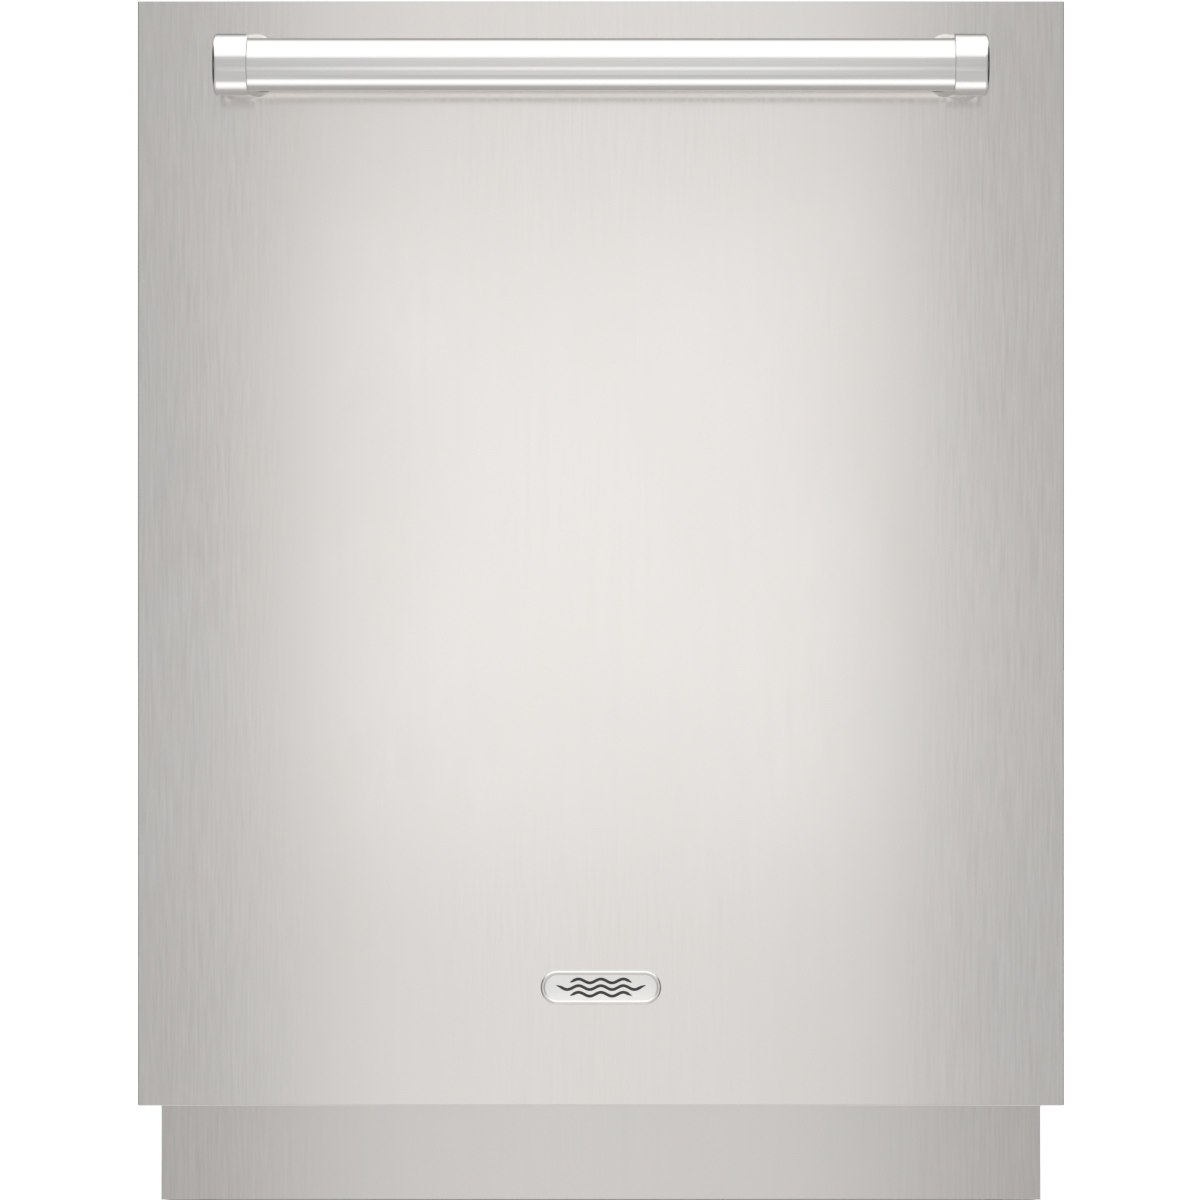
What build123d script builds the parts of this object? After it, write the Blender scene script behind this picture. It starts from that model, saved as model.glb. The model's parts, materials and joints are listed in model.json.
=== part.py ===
from build123d import *
import math
import os

# A 600 mm built-in dishwasher, 815 mm high, with a stainless door panel and a tubular handle.
# Row frame: origin on the floor under the middle of the outline, +X to the user's right, -Y to the
# front, +Z up. Every function below works in the door frame, which has y = 0 on the face of the door
# panel and +y towards the wall. write_parts() shifts the pieces from there to the row frame.

# ---- driving dimensions, in millimetres ----
HEIGHT = 815.0              # floor to the top of the counter brackets
PANEL_WIDTH = 600.0
PANEL_HEIGHT = 716.0
PANEL_TOP = 810.0
PANEL_DEPTH = 20.0
HANDLE_REACH = 65.0         # how far the handle stands in front of the panel
BODY_DEPTH = 600.0          # panel face to the rearmost fittings
FACE_Y = HANDLE_REACH - (HANDLE_REACH + BODY_DEPTH) / 2
SHEET = 1.0                 # stainless and galvanised sheet
GAP = 0.5                   # clearance between neighbouring sheet parts

PANEL_BOTTOM = PANEL_TOP - PANEL_HEIGHT
HALF_PANEL = PANEL_WIDTH / 2

# ---- door ----
HINGE_Y, HINGE_Z = 50.0, 114.0
DOOR_REAR = 60.0            # sealing rim of the inner liner
LINER_HALF = 288.0
LINER_BOTTOM, LINER_TOP = 126.0, 799.0
RECESS_HALF = 268.0         # recessed middle of the liner
RECESS_BOTTOM, RECESS_TOP = 144.0, 780.0
RECESS_Y = 40.0
STRIP_BOTTOM, STRIP_TOP = 799.2, 806.0

# ---- tub ----
TUB_HALF = 270.0
TUB_FRONT, TUB_REAR = 66.0, 576.0
TUB_FLOOR, TUB_CEILING = 130.0, 800.0
LEDGE_TOP = 136.0           # pressed ledges that the lower rack rolls on
LEDGE_WIDTH = 24.0
ARM_CENTRE = 330.0          # y of the spray arms' common axis
FILTER_X, FILTER_Y = 100.0, 310.0
CAP_X, CAP_Y = -180.0, 180.0

# ---- chassis ----
CHASSIS_HALF = 296.0
BASE_HALF = 290.0
BASE_FRONT, BASE_REAR = 84.0, 540.0
BASE_BOTTOM, BASE_TOP = 24.0, 122.0
BASE_WALL = 3.0
KICK_WIDTH, KICK_FRONT = 581.0, 75.0
TOE_DEPTH, TOE_TOP = 180.0, 97.0   # the side panels are cut back this far beside the kickplate
LOW_SCREW_YS, LOW_SCREW_Z = (210.0, 510.0), 46.0
KICK_BOTTOM, KICK_TOP = 25.3, 92.0
FOOT_X, FOOT_YS = 262.0, (112.0, 510.0)
STEM_R, STEM_CLEARANCE = 6.0, 0.05

# ---- handle ----
BAR_R = 17.0
CAP_R, CAP_LENGTH = 20.0, 22.0
HANDLE_LENGTH = 495.6
HANDLE_Z = 764.4
HANDLE_Y = -(HANDLE_REACH - CAP_R)

# ---- racks ----
WIRE_R = 2.0
RACK_FRONT, RACK_REAR = 84.0, 556.0
LOWER_HALF, LOWER_FLOOR, LOWER_RIM = 244.0, 182.0, 300.0
UPPER_HALF, UPPER_FLOOR, UPPER_RIM = 236.0, 466.0, 560.0
TRAY_HALF, TRAY_FLOOR, TRAY_RIM = 240.0, 692.0, 730.0
WHEEL_R, WHEEL_WIDTH = 17.0, 9.0
WHEEL_YS = {"front_wheels": 284.0, "rear_wheels": 520.0}
WHEEL_Z = LEDGE_TOP + WHEEL_R + 0.3
SLIDE_Z = 512.0             # middle of the upper rack's telescopic slides
TRAY_SLIDE_Z = 710.0
WELD = 1.2 * WIRE_R         # height between the axes of two welded crossing wires


# ---- helpers ----
def block(x, y, z):
    """A box from its low and high values along each axis."""
    size = [span[1] - span[0] for span in (x, y, z)]
    centre = [(span[0] + span[1]) / 2 for span in (x, y, z)]
    return Pos(*centre) * Box(*size)


def rod(start, end, radius):
    """A round bar between two points."""
    start, end = Vector(*start), Vector(*end)
    run = end - start
    plane = Plane(origin=start, z_dir=run)
    return plane * Cylinder(radius, run.length, align=(Align.CENTER, Align.CENTER, Align.MIN))


def fused(shapes):
    """All the shapes as one welded solid."""
    return shapes[0].fuse(*shapes[1:])


def group(shapes):
    """Separate solids that share a node."""
    return Compound(children=[solid for shape in shapes for solid in shape.solids()])


def both_sides(shape):
    """The shape and its mirror image across the middle of the machine."""
    return group([shape, mirror(shape, about=Plane.YZ)])


def edges_along(shape, axis):
    return shape.edges().filter_by(axis)


def spread(low, high, count):
    """Evenly spaced values, both ends included."""
    return [low + (high - low) * i / (count - 1) for i in range(count)]


def pill(length, width, y, z, depth):
    """A flat slot-shaped plate standing on the plane y, reaching forward by depth."""
    plane = Plane(origin=(0, y, z), x_dir=(1, 0, 0), z_dir=(0, -1, 0))
    return extrude(plane * SlotOverall(length, width), depth)


# ---- chassis ----
def make_base_pan():
    half = BASE_HALF
    outer = block((-half, half), (BASE_FRONT, BASE_REAR), (BASE_BOTTOM, BASE_TOP))
    outer = fillet(edges_along(outer, Axis.Z), 8)
    inner = block((-half + BASE_WALL, half - BASE_WALL), (BASE_FRONT + BASE_WALL, BASE_REAR - BASE_WALL),
                  (BASE_BOTTOM + BASE_WALL, BASE_TOP + 1))
    pan = outer - fillet(edges_along(inner, Axis.Z), 5)
    boss_r, boss_top = 13.0, 66.0
    for x in (-FOOT_X, FOOT_X):
        for y in FOOT_YS:
            pan += rod((x, y, BASE_BOTTOM), (x, y, boss_top), boss_r)
            pan -= rod((x, y, BASE_BOTTOM - 1), (x, y, boss_top + 1), STEM_R + STEM_CLEARANCE)
    kick_boss_r = 8.0
    for x in (-200, 200):
        pan += rod((x, KICK_FRONT + SHEET, 58), (x, BASE_FRONT + 1, 58), kick_boss_r)
    pad_half = 12.0
    for side in (-1, 1):
        for y in LOW_SCREW_YS:
            reach = sorted((side * (half - 1), side * (CHASSIS_HALF - SHEET)))
            pan += block(reach, (y - pad_half, y + pad_half), (LOW_SCREW_Z - pad_half, LOW_SCREW_Z + pad_half))
    for x in spread(-180, 180, 7):
        pan += block((x - 2, x + 2), (BASE_FRONT - 2, BASE_FRONT + 1), (BASE_BOTTOM + 2, BASE_TOP - 2))
    pan -= rod((DRAIN_X, BASE_REAR - 5, DRAIN_Z), (DRAIN_X, BASE_REAR + 1, DRAIN_Z), DRAIN_R + 1)
    return pan


DRAIN_X, DRAIN_Z, DRAIN_R = -60.0, 80.0, 9.5
INLET_X, INLET_Z, INLET_R = -215.0, 78.0, 13.2
JUNCTION_X, JUNCTION_Z, KNOCKOUT_R = 200.0, 76.0, 11.0


def make_foot(x, y):
    """A levelling foot: hexagonal pad with a threaded stem, screwed all the way in."""
    pad = Pos(x, y, 0) * extrude(RegularPolygon(19, 6), 11)
    pad = fillet(pad.edges().group_by(Axis.Z)[-1], 1.5)
    return pad + rod((x, y, 10), (x, y, 86), STEM_R)


def make_side_panel():
    """The right-hand panel; the left one is its mirror image."""
    outside, inside = CHASSIS_HALF, CHASSIS_HALF - SHEET
    bottom, top, front, rear = 28.0, 806.0, 70.0, 598.0
    wall = block((inside, outside), (front, rear), (bottom, top))
    front_flange = block((inside - 11, inside), (front, front + SHEET), (bottom, top))
    rear_flange = block((inside - 11, inside), (rear - SHEET, rear), (bottom, top))
    top_flange = block((inside - 20, inside), (front, rear), (top - SHEET, top))
    panel = wall + front_flange + rear_flange + top_flange
    emboss = 2.0
    for y in (170, 334, 498):
        rib = block((inside - 0.1, outside + emboss), (y - 38, y + 38), (170, 690))
        rib = fillet(edges_along(rib, Axis.X), 30)
        panel += chamfer(rib.faces().sort_by(Axis.X)[-1].edges(), emboss * 0.8)
    service_slot = block((inside - 1, outside + 1), (300, 368), (60, 84))
    panel -= fillet(edges_along(service_slot, Axis.X), 10)
    toe_notch = block((inside - 12, outside + 1), (front - 1, TOE_DEPTH), (bottom - 1, TOE_TOP))
    return panel - toe_notch


def make_counter_bracket(x):
    """A bent tab that screws up into the underside of the counter."""
    thick, width, hole_r = 2.0, 52.0, 2.5
    tab = block((x - width / 2, x + width / 2), (70, 102), (HEIGHT - thick, HEIGHT))
    tab = fillet(edges_along(tab, Axis.Z), 5)
    leg = block((x - width / 2, x + width / 2), (102 - thick, 102), (TUB_CEILING + SHEET + 0.2, HEIGHT - 1))
    foot = block((x - width / 2, x + width / 2), (102 - thick, 122),
                 (TUB_CEILING + SHEET + 0.2, TUB_CEILING + SHEET + 0.2 + thick))
    bracket = tab + leg + foot
    for hole_x in (x - 13, x + 13):
        bracket -= rod((hole_x, 84, HEIGHT - 10), (hole_x, 84, HEIGHT + 1), hole_r)
    return bracket


def make_kickplate():
    half = KICK_WIDTH / 2
    plate = block((-half, half), (KICK_FRONT, KICK_FRONT + SHEET), (KICK_BOTTOM, KICK_TOP))
    for z in (KICK_BOTTOM, KICK_TOP - SHEET):
        plate += block((-half, half), (KICK_FRONT, KICK_FRONT + 5), (z, z + SHEET))
    return fillet(edges_along(plate, Axis.X).group_by(Axis.Y)[0], 0.6)


def make_insulation_blanket():
    """Felt slabs over the top and down the back of the tub."""
    low = TUB_CEILING + SHEET + 0.5
    top = block((-272, 272), (124, 594), (low, 811))
    rear = block((-272, 272), (TUB_REAR + SHEET + 0.5, 594), (190, low - 0.2))
    return group([top, rear])


def screw_head(x, y, z, direction):
    """A domed screw head seated on a face, pointing outwards."""
    plane = Plane(origin=(x, y, z), z_dir=direction)
    head = plane * Cylinder(4.5, 2.4, align=(Align.CENTER, Align.CENTER, Align.MIN))
    outer = head.faces().sort_by(Axis(origin=(x, y, z), direction=direction))[-1]
    return fillet(outer.edges(), 1.2)


def make_chassis_screws():
    heads = []
    for side in (-1, 1):
        seats = [(y, 780) for y in (84, 334, 584)] + [(y, LOW_SCREW_Z) for y in LOW_SCREW_YS]
        for y, z in seats:
            heads.append(screw_head(side * CHASSIS_HALF, y, z, (side, 0, 0)))
    return group(heads)


def make_junction_box():
    wall, half_width, half_height = 1.2, 45.0, 32.0
    front, rear = BASE_REAR + 0.2, 592.0
    outer = block((JUNCTION_X - half_width, JUNCTION_X + half_width), (front, rear),
                  (JUNCTION_Z - half_height, JUNCTION_Z + half_height))
    outer = fillet(edges_along(outer, Axis.Y), 4)
    inner = block((JUNCTION_X - half_width + wall, JUNCTION_X + half_width - wall),
                  (front + wall, rear - wall),
                  (JUNCTION_Z - half_height + wall, JUNCTION_Z + half_height - wall))
    box = outer - inner
    return box - rod((JUNCTION_X, rear - 3, JUNCTION_Z), (JUNCTION_X, rear + 1, JUNCTION_Z), KNOCKOUT_R)


def make_inlet_valve():
    front = BASE_REAR + 0.2
    body = block((INLET_X - 24, INLET_X + 24), (front, front + 32), (INLET_Z - 24, INLET_Z + 24))
    body = fillet(edges_along(body, Axis.Y), 6)
    coil = rod((INLET_X, front + 16, INLET_Z + 20), (INLET_X, front + 16, INLET_Z + 42), 13)
    port = rod((INLET_X, front + 30, INLET_Z), (INLET_X, BODY_DEPTH, INLET_Z), INLET_R)
    way = rod((INLET_X, front + 36, INLET_Z), (INLET_X, BODY_DEPTH + 1, INLET_Z), INLET_R - 3.5)
    collar = rod((INLET_X, front + 32, INLET_Z), (INLET_X, front + 38, INLET_Z), INLET_R + 3)
    return body + coil + collar + port - way


# ---- water system ----
def make_sump():
    """Moulded sump with the filter well, a channel to the arm's post and the post's journal."""
    top = TUB_FLOOR - SHEET - GAP
    well = rod((FILTER_X, FILTER_Y, 60), (FILTER_X, FILTER_Y, top), 56)
    channel = block((-20, FILTER_X), (ARM_CENTRE - 26, ARM_CENTRE + 14), (84, top))
    socket = rod((0, ARM_CENTRE, 84), (0, ARM_CENTRE, top), 30)
    post = rod((0, ARM_CENTRE, top - 1), (0, ARM_CENTRE, 146), 17.5)
    journal = rod((0, ARM_CENTRE, 145), (0, ARM_CENTRE, 165), ARM_JOURNAL_R)
    nut = rod((0, ARM_CENTRE, 162), (0, ARM_CENTRE, 168), 15)
    nut = fillet(nut.edges().group_by(Axis.Z)[-1], 2)
    sump = well + channel + socket + post + journal + nut
    return sump - rod((FILTER_X, FILTER_Y, 84), (FILTER_X, FILTER_Y, top + 1), FILTER_R + 0.6)


ARM_JOURNAL_R = 9.95
ARM_BORE_R = 10.0
FILTER_R = 40.0


def make_circulation_pump():
    motor = rod((-70, ARM_CENTRE, 74), (-204, ARM_CENTRE, 74), 40)
    motor = chamfer(motor.faces().sort_by(Axis.X)[0].edges(), 6)
    volute = rod((-31, ARM_CENTRE, 74), (-72, ARM_CENTRE, 74), 45)
    pump = volute + motor
    for x in spread(-188, -88, 6):
        pump -= rod((x - 2, ARM_CENTRE, 74), (x + 2, ARM_CENTRE, 74), 60) - rod(
            (x - 3, ARM_CENTRE, 74), (x + 3, ARM_CENTRE, 74), 38)
    return pump


def make_drain_pump():
    """Drain pump with its outlet tube running back through the base pan."""
    motor = rod((DRAIN_X, 440, DRAIN_Z), (DRAIN_X, 500, DRAIN_Z), 27)
    motor = fillet(motor.edges().group_by(Axis.Y)[0], 3)
    outlet = rod((DRAIN_X, 499, DRAIN_Z), (DRAIN_X, BODY_DEPTH, DRAIN_Z), DRAIN_R)
    way = rod((DRAIN_X, 515, DRAIN_Z), (DRAIN_X, BODY_DEPTH + 1, DRAIN_Z), DRAIN_R - 2.5)
    return motor + outlet - way


def make_softener_tank():
    tank = block((-250, -110), (118, 242), (40, 122))
    tank = fillet(edges_along(tank, Axis.Z), 18)
    neck = rod((CAP_X, CAP_Y, 120), (CAP_X, CAP_Y, 131), 29)
    well = rod((CAP_X, CAP_Y, 60), (CAP_X, CAP_Y, 132), 24)
    return tank + neck - well


def grip_cap(x, y, z, radius, height, grip_height):
    """A round cap with a straight grip across the top, both above z."""
    cap = rod((x, y, z), (x, y, z + height), radius)
    cap = fillet(cap.edges().group_by(Axis.Z)[-1], 1.5)
    grip = block((x - radius * 0.8, x + radius * 0.8), (y - 4, y + 4),
                 (z + height - 0.5, z + height + grip_height))
    return cap + fillet(grip.edges().group_by(Axis.Z)[-1], 1.5)


def make_softener_cap():
    plug = rod((CAP_X, CAP_Y, 112), (CAP_X, CAP_Y, 132), 23.6)
    return grip_cap(CAP_X, CAP_Y, 131.3, 34, 6, 6) + plug


def make_filter_cup():
    cup = rod((FILTER_X, FILTER_Y, 86), (FILTER_X, FILTER_Y, 133), FILTER_R)
    hollow = rod((FILTER_X, FILTER_Y, 88), (FILTER_X, FILTER_Y, 131), FILTER_R - 2)
    return cup - hollow + grip_cap(FILTER_X, FILTER_Y, 131.8, 46, 3.5, 7)


def make_filter_plate():
    """Perforated plate round the filter, with rings of drain holes."""
    bottom, top = 130.3, 131.5
    plate = rod((30, 320, bottom), (30, 320, top), 135)
    holes = [rod((FILTER_X, FILTER_Y, 120), (FILTER_X, FILTER_Y, 140), 42),
             rod((0, ARM_CENTRE, 120), (0, ARM_CENTRE, 140), 18.5)]
    for radius, count in ((124, 48), (112, 44)):
        for i in range(count):
            angle = 2 * math.pi * i / count
            x, y = 30 + radius * math.cos(angle), 320 + radius * math.sin(angle)
            if math.hypot(x - FILTER_X, y - FILTER_Y) > 50:
                holes.append(rod((x, y, 120), (x, y, 140), 2.6))
    return plate.cut(*holes)


def make_feed_pipe():
    """Riser up the back wall, and a branch under the ceiling with the top arm's journal."""
    riser = block((-15, 15), (560, TUB_REAR - GAP), (TUB_FLOOR + GAP, 779.9))
    riser = fillet(edges_along(riser, Axis.Z).group_by(Axis.Y)[0], 6)
    dock = rod((0, 557, FEED_Z), (0, 562, FEED_Z), 9)
    branch = block((-13, 13), (ARM_CENTRE - 16, TUB_REAR - GAP), (780, 794))
    branch = fillet(edges_along(branch, Axis.Z).group_by(Axis.Y)[0], 8)
    journal = rod((0, ARM_CENTRE, 760), (0, ARM_CENTRE, 781), TOP_JOURNAL_R)
    nut = rod((0, ARM_CENTRE, 757), (0, ARM_CENTRE, 761), 12)
    return group([riser + dock, branch + journal + nut])


FEED_Z = 453.0
TOP_JOURNAL_R, TOP_BORE_R = 7.95, 8.0
MIDDLE_JOURNAL_R, MIDDLE_BORE_R = 8.95, 9.0


def make_spray_arm(reach, z, thickness, hub_r, tip_r, bore_r, sweep):
    """Two tapered blades swept in opposite directions, with a hub boss and rows of jets."""
    tip = reach - tip_r
    blades = None
    for side in (-1, 1):
        outline = make_hull([*Circle(hub_r).edges(),
                             *(Pos(side * tip, side * sweep) * Circle(tip_r)).edges()])
        blade = extrude(outline, thickness)
        blades = blade if blades is None else blades + blade
    blades = fillet(blades.faces().sort_by(Axis.Z)[-1].edges(), thickness * 0.3)
    blades = fillet(blades.faces().sort_by(Axis.Z)[0].edges(), thickness * 0.3)
    jets = []
    for side in (-1, 1):
        for i in range(5):
            share = 0.32 + 0.15 * i
            offset = (i % 2) * 0.5 * tip_r - 0.25 * tip_r
            jets.append(Pos(side * tip * share, side * sweep * share + offset, thickness) * Cylinder(2.2, 5))
    hub = Cylinder(bore_r + 8, thickness + 3, align=(Align.CENTER, Align.CENTER, Align.MIN))
    bore = Pos(0, 0, -1) * Cylinder(bore_r, thickness + 10, align=(Align.CENTER, Align.CENTER, Align.MIN))
    return Pos(0, ARM_CENTRE, z) * ((blades + hub).cut(*jets) - bore)


# ---- tub ----
def make_tub():
    outer = block((-TUB_HALF - SHEET, TUB_HALF + SHEET), (TUB_FRONT, TUB_REAR + SHEET),
                  (TUB_FLOOR - SHEET, TUB_CEILING + SHEET))
    inner = block((-TUB_HALF, TUB_HALF), (TUB_FRONT - 10, TUB_REAR), (TUB_FLOOR, TUB_CEILING))
    corner = 22.0
    outer = fillet(edges_along(outer, Axis.Y), corner + SHEET)
    inner = fillet(edges_along(inner, Axis.Y), corner)
    flange = block((-290, 290), (TUB_FRONT, TUB_FRONT + SHEET), (121, 806))
    mouth = fillet(edges_along(block((-TUB_HALF, TUB_HALF), (TUB_FRONT - 5, TUB_FRONT + 5),
                                     (TUB_FLOOR, TUB_CEILING)), Axis.Y), corner)
    tub = outer - inner + (flange - mouth)
    for side in (-1, 1):
        low, high = sorted((side * (TUB_HALF - LEDGE_WIDTH), side * (TUB_HALF + 0.5)))
        ledge = block((low, high), (72, TUB_REAR - 10), (TUB_FLOOR - 0.5, LEDGE_TOP))
        tub += ledge
        for z in (330, 640):
            step_low, step_high = sorted((side * (TUB_HALF - 3), side * (TUB_HALF + 0.5)))
            rib = block((step_low, step_high), (110, TUB_REAR - 40), (z, z + 14))
            tub += chamfer(rib.faces().sort_by(Axis.X)[0 if side > 0 else -1].edges(), 2)
    for x, y, radius in ((FILTER_X, FILTER_Y, 50), (0, ARM_CENTRE, 18.5), (CAP_X, CAP_Y, 30)):
        tub -= rod((x, y, TUB_FLOOR - 10), (x, y, TUB_FLOOR + 5), radius)
    return tub


def make_tub_gasket():
    """Side and top strips on the tub flange, and a separate sweep along the sill."""
    front, back = DOOR_REAR + 0.4, TUB_FRONT
    inner, outer, top_low = 272.0, 284.0, 785.0
    top = block((-outer, outer), (front, back), (top_low, 797))
    top = fillet(edges_along(top, Axis.Y).group_by(Axis.Z)[-1], 8)
    sides = [block(sorted((side * inner, side * outer)), (front, back), (144, top_low - 0.2)) for side in (-1, 1)]
    strips = [fillet(strip.faces().sort_by(Axis.Y)[0].edges(), 2) for strip in [top] + sides]
    sweep = block((-254, 254), (front + 0.6, back), (128.0, 136.0))
    return group(strips + [fillet(edges_along(sweep, Axis.X).group_by(Axis.Y)[0], 2)])


def make_interior_lights():
    lights = []
    for x in (-160, 160):
        lens = rod((x, 180, TUB_CEILING - 4), (x, 180, TUB_CEILING), 19)
        lights.append(fillet(lens.edges().group_by(Axis.Z)[0], 2.5))
    return group(lights)


def make_door_strike():
    """Steel tongue that the latch in the control strip closes on."""
    tongue = block((-8, 8), (46, TUB_FRONT), (800.0, 803.0))
    slot = block((-4, 4), (50, 56), (790, 810))
    plate = block((-20, 20), (TUB_FRONT - 2, TUB_FRONT), (799.0, 806.0))
    return tongue + plate - slot


def make_hinge_bracket():
    """Right-hand bracket on the base pan, with its fixed pin."""
    inner_x, thick, lug_r = 262.0, 3.0, 8.5
    lug = rod((inner_x, HINGE_Y, HINGE_Z), (inner_x + thick, HINGE_Y, HINGE_Z), lug_r)
    arm = block((inner_x, inner_x + thick), (HINGE_Y, BASE_FRONT), (HINGE_Z - 8, HINGE_Z + 6))
    flange = block((inner_x, inner_x + 22), (BASE_FRONT - 3.2, BASE_FRONT - 0.2), (66, HINGE_Z + 6))
    pin = rod((inner_x - 7, HINGE_Y, HINGE_Z), (inner_x + 1, HINGE_Y, HINGE_Z), PIN_R)
    head = rod((inner_x + thick - 0.5, HINGE_Y, HINGE_Z), (inner_x + thick + 2, HINGE_Y, HINGE_Z), 6.5)
    return lug + arm + flange + pin + head


PIN_R, PIN_BORE_R = 4.0, 4.05


def make_door_spring():
    """Right-hand close-wound counterbalance spring with its end hooks, in the base pan."""
    x, z, coil_r, wire = 276.0, 106.0, 8.0, 2.6
    front, rear = 150.0, 430.0
    grooves = [rod((x, y - 0.5, z), (x, y + 0.5, z), coil_r + 1) - rod((x, y - 1, z), (x, y + 1, z), coil_r - 0.9)
               for y in spread(front + 4, rear - 4, 48)]
    coil = rod((x, front, z), (x, rear, z), coil_r).cut(*grooves)
    hooks = [rod((x, front - 26, z), (x, front + 1, z), wire / 2), rod((x, rear - 1, z), (x, rear + 26, z), wire / 2)]
    return coil + hooks[0] + hooks[1]


# ---- door ----
def make_door_outer_panel():
    """Folded stainless tray with return flanges round its open back."""
    outer = block((-HALF_PANEL, HALF_PANEL), (0, PANEL_DEPTH), (PANEL_BOTTOM, PANEL_TOP))
    outer = fillet(edges_along(outer, Axis.Y), 1.0)
    outer = fillet(outer.faces().sort_by(Axis.Y)[0].edges(), 0.8)
    inner = block((-HALF_PANEL + SHEET, HALF_PANEL - SHEET), (SHEET, PANEL_DEPTH - SHEET),
                  (PANEL_BOTTOM + SHEET, PANEL_TOP - SHEET))
    inset = 15.0
    opening = block((-HALF_PANEL + inset, HALF_PANEL - inset), (SHEET + 1, PANEL_DEPTH + 1),
                    (LINER_BOTTOM + 4, PANEL_TOP - inset))
    return outer - inner - opening


def make_door_insulation():
    """Damping board stuck to the inside of the outer panel."""
    inset, thick = SHEET + 1.0, 8.0
    return block((-HALF_PANEL + inset, HALF_PANEL - inset), (SHEET + 0.2, SHEET + 0.2 + thick),
                 (PANEL_BOTTOM + inset, PANEL_TOP - inset))


def make_door_inner_liner():
    """Deep-drawn inner door: a sealing rim round a recessed middle."""
    front = PANEL_DEPTH + 0.2
    outer = block((-LINER_HALF, LINER_HALF), (front, DOOR_REAR), (LINER_BOTTOM, LINER_TOP))
    outer = fillet(edges_along(outer, Axis.Y), 6)
    outer = fillet(outer.faces().sort_by(Axis.Y)[-1].edges(), 2.5)
    recess = block((-RECESS_HALF, RECESS_HALF), (RECESS_Y, DOOR_REAR + 5), (RECESS_BOTTOM, RECESS_TOP))
    recess = fillet(edges_along(recess, Axis.Y), 24)
    hollow = block((-LINER_HALF + SHEET, LINER_HALF - SHEET), (front - 1, DOOR_REAR - SHEET),
                   (LINER_BOTTOM + SHEET, LINER_TOP - SHEET))
    hollow = fillet(edges_along(hollow, Axis.Y), 5)
    around = block((-RECESS_HALF - SHEET, RECESS_HALF + SHEET), (RECESS_Y - SHEET, DOOR_REAR + 5),
                   (RECESS_BOTTOM - SHEET, RECESS_TOP + SHEET))
    hollow -= fillet(edges_along(around, Axis.Y), 25)
    liner = outer - recess - hollow
    liner -= block((-81, 81), (RECESS_Y - 5, RECESS_Y + 5), (DISPENSER_Z - 55, DISPENSER_Z + 55))
    for side in (-1, 1):
        low, high = sorted((side * 257.0, side * 261.6))
        liner -= block((low, high), (22, 59), (LINER_BOTTOM - 1, LINER_BOTTOM + 5))
    return liner


DISPENSER_Z = 420.0
LID_X, LID_TRAVEL = -38.0, 74.0
RINSE_X = 44.0


def make_hinge_arm():
    """Right-hand hinge arm: a channel inside the door, hung on the bracket's pin."""
    inner_x, thick = 258.0, 3.0
    lug = rod((inner_x, HINGE_Y, HINGE_Z), (inner_x + thick, HINGE_Y, HINGE_Z), 8.5)
    neck = block((inner_x, inner_x + thick), (HINGE_Y - 14, HINGE_Y + 7), (HINGE_Z + 2, 150))
    leaf = block((inner_x, inner_x + thick), (23, RECESS_Y - 2), (146, 340))
    bridge = block((inner_x, inner_x + thick), (23, HINGE_Y), (LINER_BOTTOM + 8, RECESS_BOTTOM - 3))
    flange = block((inner_x, inner_x + 14), (23, 25), (160, 340))
    arm = lug + neck.cut(block((250, 270), (RECESS_Y - 2, 70), (RECESS_BOTTOM - 2, 160))) + bridge + leaf + flange
    return arm - rod((inner_x - 1, HINGE_Y, HINGE_Z), (inner_x + thick + 1, HINGE_Y, HINGE_Z), PIN_BORE_R)


BUTTON_Y = 38.0
BUTTONS = {                 # name: (x, length)
    "power_button": (-252.0, 20.0),
    "program_button": (-60.0, 30.0),
    "option_button": (60.0, 30.0),
    "delay_button": (110.0, 30.0),
    "start_button": (250.0, 24.0),
}
BUTTON_WIDTH, BUTTON_GAP = 12.0, 0.35
WINDOW_X, WINDOW_LENGTH, WINDOW_WIDTH = -150.0, 110.0, 22.0


def top_slot(x, length, width, low, high):
    """An upright pill-shaped prism on the control strip's centre line."""
    return Pos(x, BUTTON_Y, low) * extrude(SlotOverall(length, width), high - low)


def make_control_strip():
    strip = block((-LINER_HALF, LINER_HALF), (PANEL_DEPTH + 0.4, DOOR_REAR - 0.4), (STRIP_BOTTOM, STRIP_TOP))
    strip = fillet(edges_along(strip, Axis.Z), 4)
    strip = fillet(strip.edges().group_by(Axis.Z)[-1], 1)
    for x, length in BUTTONS.values():
        strip -= top_slot(x, length + 2 * BUTTON_GAP, BUTTON_WIDTH + 2 * BUTTON_GAP,
                          STRIP_BOTTOM + 0.8, STRIP_TOP + 1)
    strip -= block((WINDOW_X - WINDOW_LENGTH / 2, WINDOW_X + WINDOW_LENGTH / 2),
                   (BUTTON_Y - WINDOW_WIDTH / 2, BUTTON_Y + WINDOW_WIDTH / 2), (STRIP_TOP - 2, STRIP_TOP + 1))
    return strip - block((-22, 22), (44, DOOR_REAR + 1), (STRIP_BOTTOM - 1, STRIP_TOP - 1.4))


def make_display_window():
    inset = 0.15
    return block((WINDOW_X - WINDOW_LENGTH / 2 + inset, WINDOW_X + WINDOW_LENGTH / 2 - inset),
                 (BUTTON_Y - WINDOW_WIDTH / 2 + inset, BUTTON_Y + WINDOW_WIDTH / 2 - inset),
                 (STRIP_TOP - 2, STRIP_TOP + 0.2))


def make_button(x, length):
    cap = top_slot(x, length, BUTTON_WIDTH, STRIP_BOTTOM + 2.8, STRIP_TOP + 1.4)
    return fillet(cap.edges().group_by(Axis.Z)[-1], 0.8)


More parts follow.
